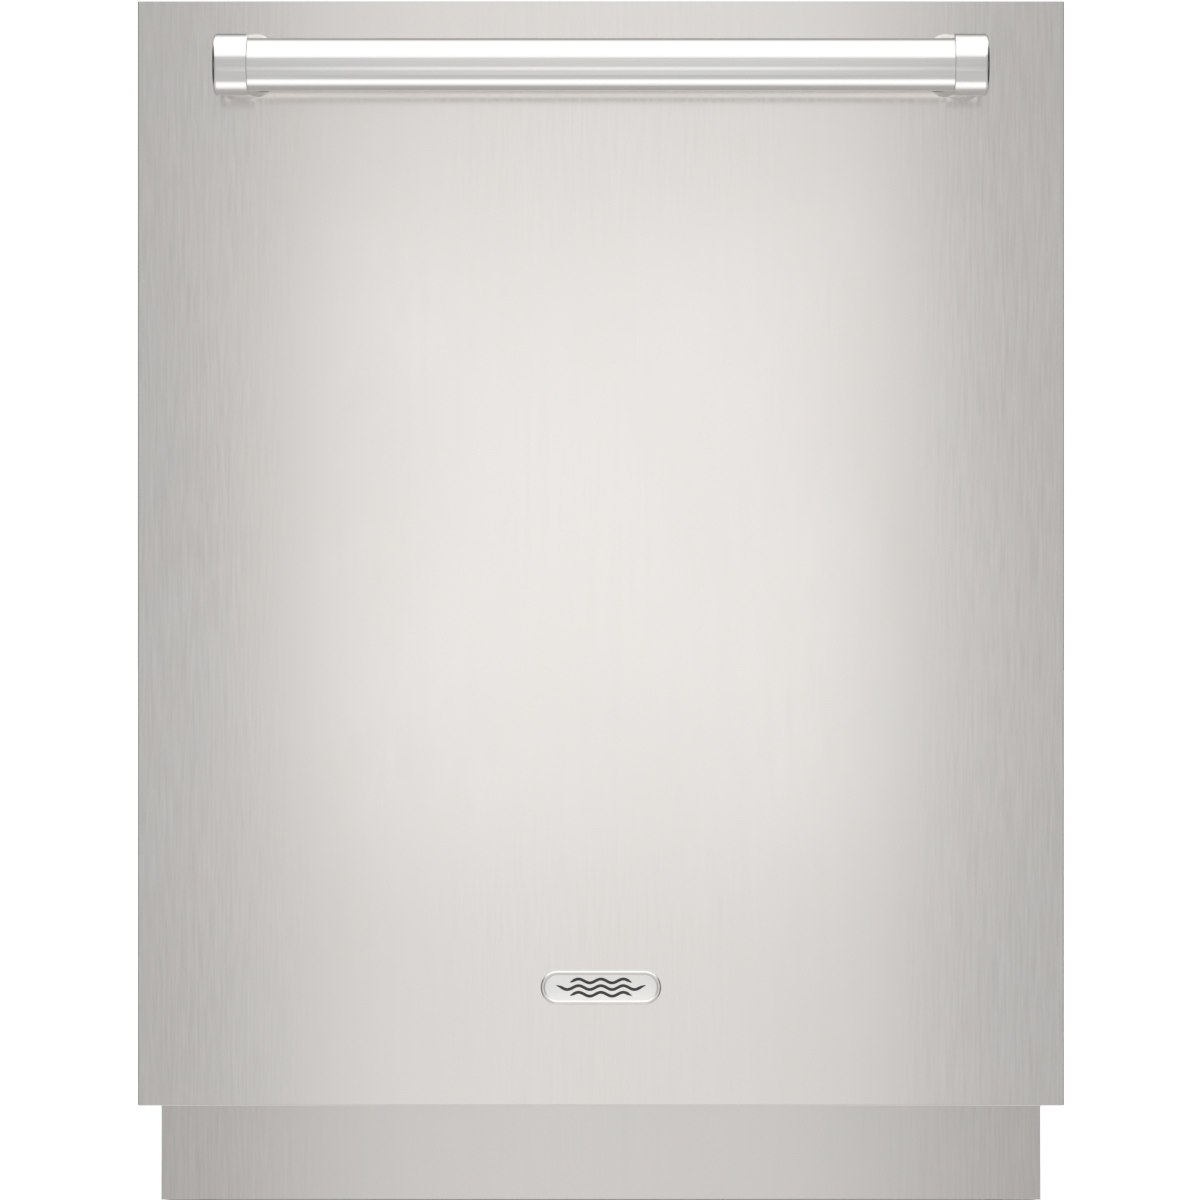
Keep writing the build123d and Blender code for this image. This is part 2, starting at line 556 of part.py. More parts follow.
def make_handle_bar():
    """Round tube held in the two end caps."""
    end = HANDLE_LENGTH / 2 - 5
    return rod((-end, HANDLE_Y, HANDLE_Z), (end, HANDLE_Y, HANDLE_Z), BAR_R) - rod(
        (-end - 1, HANDLE_Y, HANDLE_Z), (end + 1, HANDLE_Y, HANDLE_Z), BAR_R - 1.8)


def make_handle_end():
    """Right-hand stanchion: a round end cap and a post that flares inwards at the door."""
    outer_x = HANDLE_LENGTH / 2
    inner_x = outer_x - CAP_LENGTH
    cap = rod((inner_x, HANDLE_Y, HANDLE_Z), (outer_x, HANDLE_Y, HANDLE_Z), CAP_R)
    cap = fillet(cap.faces().sort_by(Axis.X)[-1].edges(), 2.6)
    cap = fillet(cap.faces().sort_by(Axis.X)[0].edges(), 0.6)
    sections = []
    for y, flare, half_height, corner, lift in ((HANDLE_Y + 4, 0.0, 16.0, 6, 0.0), (-24, 0.5, 17.2, 7, 0.5),
                                                (-8, 5.0, 19.4, 9, 2.4), (0, 14.0, 20.5, 13, 3.5)):
        low, high = inner_x + 0.8 - flare, outer_x - 2.2
        plane = Plane(origin=((low + high) / 2, y, HANDLE_Z + lift), x_dir=(1, 0, 0), z_dir=(0, -1, 0))
        sections.append(plane * RectangleRounded(high - low, 2 * half_height, corner * 0.8))
    post = loft(sections)
    socket = rod((inner_x - 20, HANDLE_Y, HANDLE_Z), (outer_x - 4.8, HANDLE_Y, HANDLE_Z), BAR_R + 0.05)
    return cap + post - socket


BADGE_Z = 170.7
BADGE_LENGTH, BADGE_WIDTH, BADGE_DEPTH = 78.0, 22.0, 2.2


def make_badge():
    """Plain pill-shaped badge with a shallow field inside a raised rim."""
    plate = pill(BADGE_LENGTH, BADGE_WIDTH, 0, BADGE_Z, BADGE_DEPTH)
    plate = fillet(plate.faces().sort_by(Axis.Y)[0].edges(), 0.9)
    field = pill(BADGE_LENGTH - 4.4, BADGE_WIDTH - 4.4, -(BADGE_DEPTH - 0.4), BADGE_Z, 2)
    return plate - field


def make_dispenser_body():
    """Detergent and rinse-aid dispenser: a face plate and a body with the open detergent cup."""
    low_z, high_z = DISPENSER_Z - 60, DISPENSER_Z + 60
    plate = block((-86, 86), (RECESS_Y + 0.2, RECESS_Y + 5), (low_z, high_z))
    plate = fillet(edges_along(plate, Axis.Y), 12)
    plate = fillet(plate.faces().sort_by(Axis.Y)[-1].edges(), 1.5)
    body = block((-80, 80), (22, RECESS_Y + 1), (low_z + 6, high_z - 6))
    body = fillet(edges_along(body, Axis.Y), 8)
    cup = block((LID_X - 26, LID_X + 26), (25, RECESS_Y + 10), (DISPENSER_Z - 34, DISPENSER_Z + 30))
    cup = fillet(edges_along(cup, Axis.Y), 9)
    port = rod((RINSE_X, 30, DISPENSER_Z), (RINSE_X, 60, DISPENSER_Z), 12)
    return plate + body - cup - port


def make_detergent_lid():
    face = RECESS_Y + 5.2
    lid = block((LID_X - 31, LID_X + 31), (face, face + 4), (DISPENSER_Z - 39, DISPENSER_Z + 35))
    lid = fillet(edges_along(lid, Axis.Y), 9)
    lid = fillet(lid.faces().sort_by(Axis.Y)[-1].edges(), 1.2)
    for z in spread(DISPENSER_Z - 26, DISPENSER_Z - 14, 3):
        lid += block((LID_X - 14, LID_X + 14), (face + 3.5, face + 5), (z - 1, z + 1))
    return lid


def make_rinse_cap():
    """Quarter-turn rinse-aid cap with a straight grip."""
    face = RECESS_Y + 5.2
    cap = rod((RINSE_X, face, DISPENSER_Z), (RINSE_X, face + 4, DISPENSER_Z), 21)
    cap = fillet(cap.faces().sort_by(Axis.Y)[-1].edges(), 1.2)
    plug = rod((RINSE_X, 33, DISPENSER_Z), (RINSE_X, face + 1, DISPENSER_Z), 11.6)
    grip = block((RINSE_X - 17, RINSE_X + 17), (face + 3.5, face + 8), (DISPENSER_Z - 3, DISPENSER_Z + 3))
    return cap + plug + fillet(grip.faces().sort_by(Axis.Y)[-1].edges(), 1)


# ---- racks ----
def wire_floor(half, front, rear, z, across, along):
    """Welded floor grid: wires across the rack lie on top of wires that run front to back."""
    wires = [rod((-half, y, z + WELD), (half, y, z + WELD), WIRE_R) for y in spread(front, rear, across)]
    wires += [rod((x, front, z), (x, rear, z), WIRE_R) for x in spread(-half + 8, half - 8, along)]
    return fused(wires)


def wire_wall(start, end, bottom, top, count, rails, inward):
    """Welded wall: upright wires from start to end, with rails on their inner side."""
    (x0, y0), (x1, y1) = start, end
    uprights = [rod((x0 + (x1 - x0) * s, y0 + (y1 - y0) * s, bottom), (x0 + (x1 - x0) * s, y0 + (y1 - y0) * s, top),
                    WIRE_R) for s in spread(0, 1, count)]
    dx, dy = inward[0] * WELD, inward[1] * WELD
    bars = [rod((x0 + dx, y0 + dy, z), (x1 + dx, y1 + dy, z), WIRE_R) for z in rails]
    return fused(uprights + bars)


def wire_basket(half, floor, rim, front_rim, across, along):
    """The five welded panels of a basket, as separate solids a hair apart."""
    wall_x = half + WIRE_R + 0.3
    front, rear = RACK_FRONT, RACK_REAR
    inner_front, inner_rear = front + 2 * WIRE_R + 0.3, rear - 2 * WIRE_R - 0.3
    bottom = floor - WIRE_R
    panels = [wire_floor(half, inner_front, inner_rear, floor, across, along)]
    middle = (floor + rim) / 2
    for side in (-1, 1):
        panels.append(wire_wall((side * wall_x, inner_front), (side * wall_x, inner_rear), bottom, rim, 12,
                                (middle, rim - WIRE_R), (-side, 0)))
    front_middle = (floor + front_rim) / 2
    panels.append(wire_wall((-half, front + WIRE_R), (half, front + WIRE_R), bottom, front_rim, 13,
                            (front_middle, front_rim - WIRE_R), (0, -1)))
    panels.append(wire_wall((-half, rear - WIRE_R), (half, rear - WIRE_R), bottom, rim, 13,
                            (middle, rim - WIRE_R), (0, 1)))
    return panels


def tine(x, y, bottom, height):
    """A round-tipped upright wire."""
    stem = rod((x, y, bottom), (x, y, bottom + height), WIRE_R)
    return fillet(stem.edges().group_by(Axis.Z)[-1], WIRE_R * 0.9)


TINE_XS = spread(-209, 209, 12)
LOWER_TINE_YS = (130.0, 196.0, 400.0)
FOLD_Y = 300.0
TINE_HEIGHT = 88.0
LOWER_TINE_BOTTOM = LOWER_FLOOR + WELD + WIRE_R + 0.05
UPPER_TINE_BOTTOM = UPPER_FLOOR + WELD + WIRE_R + 0.05


def make_lower_basket():
    solids = wire_basket(LOWER_HALF, LOWER_FLOOR, LOWER_RIM, LOWER_RIM - 42, 15, 11)
    for side, at in ((-1, 1), (1, 2)):
        wall = solids[at]
        for y in WHEEL_YS.values():
            x = side * (LOWER_HALF + WIRE_R + 0.3)
            low, high = sorted((x - side * 1.5, x + side * 1.5))
            hanger = block((low, high), (y - 14, y + 14), (WHEEL_Z - 7, LOWER_FLOOR + 12))
            axle = rod((x, y, WHEEL_Z), (x + side * 15, y, WHEEL_Z), AXLE_R)
            stop = rod((x + side * 13, y, WHEEL_Z), (x + side * 15, y, WHEEL_Z), AXLE_R + 2)
            wall = wall.fuse(hanger, axle, stop)
        solids[at] = wall
    for y in LOWER_TINE_YS:
        solids += [tine(x, y, LOWER_TINE_BOTTOM, TINE_HEIGHT) for x in TINE_XS]
    return group(solids)


AXLE_R, AXLE_BORE_R = 3.0, 3.05


def make_wheels(y):
    """The two wheels of one axle, left and right."""
    inner_x = LOWER_HALF + WIRE_R + 0.3 + 2.3
    wheel = rod((inner_x, y, WHEEL_Z), (inner_x + WHEEL_WIDTH, y, WHEEL_Z), WHEEL_R)
    wheel = fillet(wheel.edges().filter_by(GeomType.CIRCLE), 2)
    for angle in range(0, 360, 72):
        cy = y + 10 * math.cos(math.radians(angle))
        cz = WHEEL_Z + 10 * math.sin(math.radians(angle))
        wheel -= rod((inner_x - 1, cy, cz), (inner_x + WHEEL_WIDTH + 1, cy, cz), 3.2)
    wheel -= rod((inner_x - 1, y, WHEEL_Z), (inner_x + WHEEL_WIDTH + 1, y, WHEEL_Z), AXLE_BORE_R)
    return both_sides(wheel)


def make_fold_tines():
    """A row of tines on its own pivot rod, which folds down to the rear."""
    z = LOWER_TINE_BOTTOM + WIRE_R + 0.1
    pivot = rod((-228, FOLD_Y, z), (228, FOLD_Y, z), WIRE_R)
    tines = [tine(x, FOLD_Y, z + WIRE_R + 0.03, TINE_HEIGHT - 6) for x in TINE_XS]
    return group([pivot, *tines])


def make_rack_handle(z):
    """Flat stainless grip along a rack's front rim."""
    grip = block((-110, 110), (RACK_FRONT - 7.5, RACK_FRONT - 3.4), (z - 14, z + 6))
    grip = fillet(edges_along(grip, Axis.Y), 6)
    return fillet(grip.faces().sort_by(Axis.Y)[0].edges(), 1)


def make_upper_basket():
    solids = wire_basket(UPPER_HALF, UPPER_FLOOR, UPPER_RIM, UPPER_RIM - 14, 15, 11)
    for x in (-96, -32, 32, 96):
        solids += [tine(x, y, UPPER_TINE_BOTTOM, 52) for y in UPPER_TINE_YS]
    return group(solids)


UPPER_TINE_YS = tuple(y for y in spread(RACK_FRONT + 2 * WIRE_R + 0.3, RACK_REAR - 2 * WIRE_R - 0.3, 15)[1:-1])


def channel(outer_x, depth, half_height, wall, z):
    """Right-hand C channel that opens inwards, from the rack front to the rear."""
    profile = block((outer_x - depth, outer_x), (RACK_FRONT, RACK_REAR), (z - half_height, z + half_height))
    slot = block((outer_x - depth - 1, outer_x - wall), (RACK_FRONT - 1, RACK_REAR + 1),
                 (z - half_height + wall, z + half_height - wall))
    return profile - slot


def make_rack_slide_outers():
    upper = channel(TUB_HALF - 0.5, 9.5, 14, 1.5, SLIDE_Z)
    tray = channel(TUB_HALF - 0.5, 9.5, 9, 1.5, TRAY_SLIDE_Z)
    return group([both_sides(upper), both_sides(tray)])


def make_upper_slide_middle():
    return both_sides(channel(TUB_HALF - 2.5, 9.5, 12, 1.5, SLIDE_Z))


def make_upper_slide_inner():
    """Inner slide members with the hangers that carry the upper basket."""
    outer_x = TUB_HALF - 4.5
    inner_x = outer_x - 13
    member = block((inner_x, outer_x), (RACK_FRONT, RACK_REAR), (SLIDE_Z - 7, SLIDE_Z + 7))
    wall_x = UPPER_HALF + 2 * WIRE_R + 0.6
    for y in (130, 320, 510):
        member += block((wall_x, inner_x + 1), (y - 12, y + 12), (SLIDE_Z - 5, SLIDE_Z + 5))
        member += block((wall_x, wall_x + 2), (y - 16, y + 16), (UPPER_FLOOR + 4, UPPER_RIM - 4))
    return both_sides(member)


def make_upper_feed_tube():
    """Water tube under the upper basket, from the riser's dock to the middle arm's journal."""
    tube = rod((0, ARM_CENTRE - 10, FEED_Z), (0, 556.4, FEED_Z), 7.5)
    socket = rod((0, 540, FEED_Z), (0, 556.4, FEED_Z), 9)
    hub = rod((0, ARM_CENTRE, 446), (0, ARM_CENTRE, UPPER_FLOOR - WIRE_R - 0.3), 15)
    journal = rod((0, ARM_CENTRE, 423), (0, ARM_CENTRE, 447), MIDDLE_JOURNAL_R)
    nut = rod((0, ARM_CENTRE, 421), (0, ARM_CENTRE, 426), 13)
    return tube + socket + hub + journal + nut


SHELF_Z, SHELF_REACH = 536.0, 96.0
SHELF_PIVOT_X = UPPER_HALF - 8.0


def make_cup_shelf():
    """Right-hand folding cup shelf: a wire frame hinged along the basket wall."""
    radius = 1.6
    inner_x = SHELF_PIVOT_X - SHELF_REACH
    bars = [rod((x, 130, SHELF_Z), (x, 510, SHELF_Z), radius) for x in spread(inner_x, SHELF_PIVOT_X, 4)]
    bars += [rod((inner_x, y, SHELF_Z + 1.2 * radius), (SHELF_PIVOT_X, y, SHELF_Z + 1.2 * radius), radius)
             for y in spread(130, 510, 8)]
    return fused(bars)


def make_cutlery_tray():
    """Shallow moulded tray: a slotted floor, four rims, two dividers and side runners."""
    front, rear, wall = 88.0, 540.0, 3.0
    floor = block((-TRAY_HALF, TRAY_HALF), (front, rear), (TRAY_FLOOR, TRAY_FLOOR + 3))
    slots = []
    for x in spread(-210, 210, 8):
        for y in spread(118, 510, 14):
            slots.append(block((x - 23, x + 23), (y - 9, y + 9), (TRAY_FLOOR - 1, TRAY_FLOOR + 4)))
    floor = floor.cut(*slots)
    low = TRAY_FLOOR + 3.05
    solids = [floor]
    for side in (-1, 1):
        x_low, x_high = sorted((side * TRAY_HALF, side * (TRAY_HALF - wall)))
        rim = block((x_low, x_high), (front, rear), (low, TRAY_RIM))
        x_low, x_high = sorted((side * (TRAY_HALF - 0.5), side * (TUB_HALF - 3)))
        runner = block((x_low, x_high), (front + 6, rear), (TRAY_SLIDE_Z - 5.5, TRAY_SLIDE_Z + 5.5))
        solids.append(rim + runner)
        divider_x = side * 90
        solids.append(block((divider_x - 1.2, divider_x + 1.2), (front + wall + 0.1, rear - wall - 0.1),
                            (low, TRAY_RIM - 8)))
    inner = TRAY_HALF - wall - 0.1
    front_rim = block((-inner, inner), (front, front + wall), (low, TRAY_RIM))
    grip = block((-80, 80), (front - 6, front + 1), (TRAY_RIM - 10, TRAY_RIM))
    solids.append(front_rim + fillet(edges_along(grip, Axis.X).group_by(Axis.Y)[0], 2))
    solids.append(block((-inner, inner), (rear - wall, rear), (low, TRAY_RIM)))
    return group(solids)


# ---- the parts list ----
def all_parts():
    side_panel = make_side_panel()
    cup_shelf = make_cup_shelf()
    parts = {
        "base_pan": make_base_pan(),
        "side_panel_right": side_panel,
        "side_panel_left": mirror(side_panel, about=Plane.YZ),
        "counter_brackets": group([make_counter_bracket(-215), make_counter_bracket(215)]),
        "kickplate": make_kickplate(),
        "insulation_blanket": make_insulation_blanket(),
        "chassis_screws": make_chassis_screws(),
        "junction_box": make_junction_box(),
        "inlet_valve": make_inlet_valve(),
        "sump": make_sump(),
        "circulation_pump": make_circulation_pump(),
        "drain_pump": make_drain_pump(),
        "softener_tank": make_softener_tank(),
        "softener_cap": make_softener_cap(),
        "filter_cup": make_filter_cup(),
        "filter_plate": make_filter_plate(),
        "feed_pipe": make_feed_pipe(),
        "lower_spray_arm": make_spray_arm(232, 147, 11, 32, 17, ARM_BORE_R, 26),
        "middle_spray_arm": make_spray_arm(212, 428, 10, 28, 15, MIDDLE_BORE_R, 24),
        "top_spray_arm": make_spray_arm(130, 763, 9, 24, 13, TOP_BORE_R, 14),
        "tub": make_tub(),
        "tub_gasket": make_tub_gasket(),
        "interior_lights": make_interior_lights(),
        "door_strike": make_door_strike(),
        "hinge_brackets": both_sides(make_hinge_bracket()),
        "door_springs": both_sides(make_door_spring()),
        "door_outer_panel": make_door_outer_panel(),
        "door_insulation": make_door_insulation(),
        "door_inner_liner": make_door_inner_liner(),
        "hinge_arms": both_sides(make_hinge_arm()),
        "control_strip": make_control_strip(),
        "display_window": make_display_window(),
        "handle_bar": make_handle_bar(),
        "handle_stanchions": both_sides(make_handle_end()),
        "badge": make_badge(),
        "dispenser_body": make_dispenser_body(),
        "detergent_lid": make_detergent_lid(),
        "rinse_cap": make_rinse_cap(),
        "lower_basket": make_lower_basket(),
        "lower_rack_handle": make_rack_handle(LOWER_RIM - 42),
        "fold_tines": make_fold_tines(),
        "upper_basket": make_upper_basket(),
        "upper_slide_middle": make_upper_slide_middle(),
        "upper_slide_inner": make_upper_slide_inner(),
        "rack_slide_outers": make_rack_slide_outers(),
        "upper_feed_tube": make_upper_feed_tube(),
        "cup_shelf_right": cup_shelf,
        "cup_shelf_left": mirror(cup_shelf, about=Plane.YZ),
        "cutlery_tray": make_cutlery_tray(),
    }
    for name, y in WHEEL_YS.items():
        parts[name] = make_wheels(y)
    for name, (x, length) in BUTTONS.items():
        parts[name] = make_button(x, length)
    for side, x in (("left", -FOOT_X), ("right", FOOT_X)):
        for place, y in zip(("front", "rear"), FOOT_YS):
            parts[f"foot_{place}_{side}"] = make_foot(x, y)
    return parts


def write_parts():
    os.makedirs("parts", exist_ok=True)
    for name, shape in all_parts().items():
        export_step(Pos(0, FACE_Y, 0) * shape, f"parts/{name}.step")


write_parts()
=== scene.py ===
import json
import math

import bmesh
import bpy
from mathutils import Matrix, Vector


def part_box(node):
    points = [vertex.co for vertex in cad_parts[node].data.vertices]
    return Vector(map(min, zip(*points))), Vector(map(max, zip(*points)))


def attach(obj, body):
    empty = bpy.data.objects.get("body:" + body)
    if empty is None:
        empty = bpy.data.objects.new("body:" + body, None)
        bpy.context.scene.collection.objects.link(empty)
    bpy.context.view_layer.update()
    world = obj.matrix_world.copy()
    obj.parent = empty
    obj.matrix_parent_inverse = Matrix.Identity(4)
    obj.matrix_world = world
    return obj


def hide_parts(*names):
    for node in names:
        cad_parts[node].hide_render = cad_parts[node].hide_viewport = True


# Looks of the built-in dishwasher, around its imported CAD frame. Metres, the frame's axes.

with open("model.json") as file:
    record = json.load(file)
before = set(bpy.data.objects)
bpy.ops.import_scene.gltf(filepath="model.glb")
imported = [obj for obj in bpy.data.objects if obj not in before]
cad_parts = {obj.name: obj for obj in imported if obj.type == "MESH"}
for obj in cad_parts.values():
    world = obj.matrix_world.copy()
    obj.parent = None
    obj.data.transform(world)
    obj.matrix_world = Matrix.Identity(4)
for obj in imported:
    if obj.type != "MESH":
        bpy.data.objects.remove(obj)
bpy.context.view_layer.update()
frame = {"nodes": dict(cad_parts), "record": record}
nodes = frame["nodes"]

MM = 0.001
PANEL_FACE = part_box("door_outer_panel")[0].y        # front face of the door panel


# ---- camera, lights and stage ----
CAMERA_DISTANCE = 3.7       # in front of the door panel
CAMERA_ACROSS = -0.0006
CAMERA_HEIGHT = 0.4217
VIEW_WIDTH = 0.7775         # what the picture's width covers at the door panel
SENSOR = 36.0
STRIP_WIDTH = 0.864
HANDLE_NODES = ("handle_bar", "handle_stanchions")
# The door's strips: name, distance behind the camera, lowest and highest point, radiance.
DOOR_STRIPS = (("strip_tall", 0.4, -1.0, 2.0, 0.38), ("strip_short", 0.3, 0.1, 0.95, 0.16))
# The handle's own: name, distance behind the camera, elevations seen from the bar in degrees, radiance.
HANDLE_STRIPS = (("handle_wide", 0.4, -50, 20, 0.2), ("handle_low", 0.3, -29, -15, 0.28))


def make_camera():
    data = bpy.data.cameras.new("camera")
    data.sensor_width = SENSOR
    data.lens = SENSOR * CAMERA_DISTANCE / VIEW_WIDTH
    data.clip_end = 100
    camera = bpy.data.objects.new("camera", data)
    camera.location = (CAMERA_ACROSS, PANEL_FACE - CAMERA_DISTANCE, CAMERA_HEIGHT)
    camera.rotation_euler = (math.radians(90), 0, 0)
    bpy.context.scene.collection.objects.link(camera)
    bpy.context.scene.camera = camera


def area_light(name, place, aim, size, radiance):
    """A rectangle of that radiance, facing aim."""
    data = bpy.data.lights.new(name, "AREA")
    data.shape = "RECTANGLE"
    data.size, data.size_y = size
    data.energy = radiance * math.pi * size[0] * size[1]
    light = bpy.data.objects.new(name, data)
    light.location = place
    light.rotation_euler = (Vector(aim) - Vector(place)).to_track_quat("-Z", "Y").to_euler()
    light.visible_camera = False
    bpy.context.scene.collection.objects.link(light)
    return light


def linked_group(name, state):
    """A light-linking group that holds the handle, either lit alone or left out."""
    group = bpy.data.collections.new(name)
    for node in HANDLE_NODES:
        group.objects.link(nodes[node])
    for member in group.collection_objects:
        member.light_linking.link_state = state
    return group


def make_lights():
    """Tall soft strips behind the camera, which the brushed door spreads sideways.

    The handle mirrors them too sharply, so the handle has strips of its own.
    """
    without_handle = linked_group("all_but_handle", "EXCLUDE")
    only_handle = linked_group("handle_alone", "INCLUDE")
    for name, behind, lowest, highest, radiance in DOOR_STRIPS:
        place = (0, PANEL_FACE - CAMERA_DISTANCE - behind, (lowest + highest) / 2)
        strip = area_light(name, place, (0, 0, place[2]), (STRIP_WIDTH, highest - lowest), radiance)
        strip.light_linking.receiver_collection = without_handle
    low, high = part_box("handle_bar")
    axis_height = (low.z + high.z) / 2
    for name, behind, lowest, highest, radiance in HANDLE_STRIPS:
        distance = CAMERA_DISTANCE + behind
        bottom, top = (axis_height + distance * math.tan(math.radians(angle)) for angle in (lowest, highest))
        place = (0, PANEL_FACE - distance, (bottom + top) / 2)
        strip = area_light(name, place, (0, 0, place[2]), (STRIP_WIDTH, top - bottom), radiance)
        strip.light_linking.receiver_collection = only_handle


# Brightness of the studio by height of the direction, from straight down to straight up.
STUDIO_BANDS = ((-1.0, 1.25), (-0.975, 1.15), (-0.93, 0.62), (-0.56, 0.55), (-0.10, 0.52), (0.0, 0.55),
                (0.10, 0.52), (0.37, 0.60), (0.45, 1.1), (0.58, 1.2), (1.0, 1.2))
# Its sides are dark: sideways part of the direction, share of the brightness.
SIDE_BANDS = ((0.0, 1.0), (0.72, 1.0), (0.82, 0.1), (0.98, 0.1), (1.0, 0.8))
# Behind the dishwasher it is dimmer: backward part of the direction, share of the brightness.
REAR_BANDS = ((0.0, 1.0), (0.4, 1.0), (0.72, 0.3), (1.0, 0.12))


def make_world():
    """Plain white to the camera; to everything else a soft studio, bright above and below."""
    world = bpy.data.worlds.new("studio")
    bpy.context.scene.world = world
    world.use_nodes = True
    tree = world.node_tree
    tree.nodes.clear()
    add, link = tree.nodes.new, tree.links.new
    direction = add("ShaderNodeTexCoord")
    parts = add("ShaderNodeSeparateXYZ")
    link(direction.outputs["Generated"], parts.inputs[0])
    height = add("ShaderNodeMapRange")
    height.inputs["From Min"].default_value = -1
    link(parts.outputs["Z"], height.inputs["Value"])
    bands = add("ShaderNodeValToRGB")
    bands.color_ramp.interpolation = "EASE"
    while len(bands.color_ramp.elements) < len(STUDIO_BANDS):
        bands.color_ramp.elements.new(0.5)
    for element, (z, level) in zip(bands.color_ramp.elements, STUDIO_BANDS):
        element.position = (z + 1) / 2
        element.color = (level, level, level, 1)
    link(height.outputs[0], bands.inputs[0])
    sideways = add("ShaderNodeMath")
    sideways.operation = "ABSOLUTE"
    link(parts.outputs["X"], sideways.inputs[0])
    shares = add("ShaderNodeMath")
    shares.operation = "MULTIPLY"
    for i, (part, curve) in enumerate(((sideways.outputs[0], SIDE_BANDS), (parts.outputs["Y"], REAR_BANDS))):
        ramp = add("ShaderNodeValToRGB")
        while len(ramp.color_ramp.elements) < len(curve):
            ramp.color_ramp.elements.new(0.5)
        for element, (place, share) in zip(ramp.color_ramp.elements, curve):
            element.position = place
            element.color = (share, share, share, 1)
        link(part, ramp.inputs[0])
        link(ramp.outputs[0], shares.inputs[i])
    studio = add("ShaderNodeBackground")
    link(bands.outputs[0], studio.inputs["Color"])
    link(shares.outputs[0], studio.inputs["Strength"])
    plain = add("ShaderNodeBackground")
    plain.inputs["Color"].default_value = (1, 1, 1, 1)
    plain.inputs["Strength"].default_value = 1.05
    path = add("ShaderNodeLightPath")
    mix = add("ShaderNodeMixShader")
    link(path.outputs["Is Camera Ray"], mix.inputs[0])
    link(studio.outputs[0], mix.inputs[1])
    link(plain.outputs[0], mix.inputs[2])
    out = add("ShaderNodeOutputWorld")
    link(mix.outputs[0], out.inputs["Surface"])


# ---- material helpers ----
class Maker:
    """One procedural material, built up from object-space noise."""

    def __init__(self, name):
        self.material = bpy.data.materials.new(name)
        self.material.use_nodes = True
        self.tree = self.material.node_tree
        self.shader = self.tree.nodes["Principled BSDF"]
        self.coords = self.tree.nodes.new("ShaderNodeTexCoord").outputs["Object"]

    def node(self, kind, **values):
        made = self.tree.nodes.new(kind)
        for name, value in values.items():
            self.put(made, name.replace("_", " "), value)
        return made

    def put(self, node, name, value):
        if hasattr(value, "is_output"):
            self.tree.links.new(value, node.inputs[name])
        else:
            node.inputs[name].default_value = value

    def sockets(self, **values):
        """Plain values or links on the shader's own sockets."""
        for name, value in values.items():
            self.put(self.shader, name.replace("_", " "), value)

    def scaled(self, scale):
        """Object coordinates in cycles per metre along X, Y and Z."""
        mapping = self.node("ShaderNodeMapping")
        mapping.inputs["Scale"].default_value = scale if hasattr(scale, "__len__") else (scale,) * 3
        self.tree.links.new(self.coords, mapping.inputs["Vector"])
        return mapping.outputs[0]

    def noise(self, scale, detail=2.0, roughness=0.5, distortion=0.0):
        made = self.node("ShaderNodeTexNoise", Vector=self.scaled(scale), Scale=1.0, Detail=detail,
                         Roughness=roughness, Distortion=distortion)
        return made.outputs[0]

    def cells(self, scale):
        made = self.node("ShaderNodeTexVoronoi", Vector=self.scaled(scale), Scale=1.0)
        return made.outputs["Color"]

    def span(self, value, low, high, source=(0.3, 0.7)):
        """value moved from its own range to low..high."""
        made = self.node("ShaderNodeMapRange", Value=value)
        for name, number in zip(("From Min", "From Max", "To Min", "To Max"), (*source, low, high)):
            made.inputs[name].default_value = number
        return made.outputs[0]

    def math(self, operation, a, b):
        made = self.node("ShaderNodeMath")
        made.operation = operation
        for i, value in enumerate((a, b)):
            if hasattr(value, "is_output"):
                self.tree.links.new(value, made.inputs[i])
            else:
                made.inputs[i].default_value = value
        return made.outputs[0]

    def blend(self, share, a, b):
        """Colour a turning into colour b."""
        made = self.node("ShaderNodeMix")
        made.data_type = "RGBA"
        for i, value in ((0, share), (6, a), (7, b)):
            if hasattr(value, "is_output"):
                self.tree.links.new(value, made.inputs[i])
            else:
                made.inputs[i].default_value = value if i == 0 else (*value, 1)
        return made.outputs[2]

    def bump(self, height, depth, strength=1.0, under=None):
        """A bump of that depth in metres, laid over another bump's normal if given."""
        made = self.node("ShaderNodeBump", Height=height, Strength=strength, Distance=depth)
        if under is not None:
            self.tree.links.new(under, made.inputs["Normal"])
        return made.outputs[0]


def shade(colour, factor):
    return tuple(channel * factor for channel in colour)


def brushed_metal(name, colour, along, roughness, contrast, groove):
    """Sheet or bar ground in one direction: fine streaks, broader bands and faint clouds."""
    m = Maker(name)

    def stretched(across, lengthwise):
        return tuple(lengthwise if axis == along else across for axis in "XYZ")

    fine = m.noise(stretched(620, 30), 2, 0.55)
    broad = m.noise(stretched(150, 6), 2, 0.55)
    cloud = m.noise((7, 7, 5), 2, 0.5)
    streak = m.math("ADD", m.math("MULTIPLY", fine, 0.8), m.math("MULTIPLY", broad, 0.2))
    toned = m.blend(m.span(streak, 0, 1), shade(colour, 1 - contrast), shade(colour, 1 + contrast))
    warmed = m.blend(m.span(m.noise((16, 16, 7), 3, 0.6), 0, 1), (1.0, 0.992, 0.984), (0.992, 1.0, 1.004))
    tint = m.node("ShaderNodeMix")
    tint.data_type, tint.blend_type = "RGBA", "MULTIPLY"
    tint.inputs[0].default_value = 1
    m.tree.links.new(toned, tint.inputs[6])
    m.tree.links.new(warmed, tint.inputs[7])
    rough = m.math("ADD", m.span(fine, -0.02, 0.02), m.span(cloud, roughness - 0.01, roughness + 0.01))
    normal = m.bump(fine, groove * MM, 0.6)
    m.sockets(Base_Color=tint.outputs[2], Metallic=1.0, Roughness=rough, Normal=normal)
    return m.material


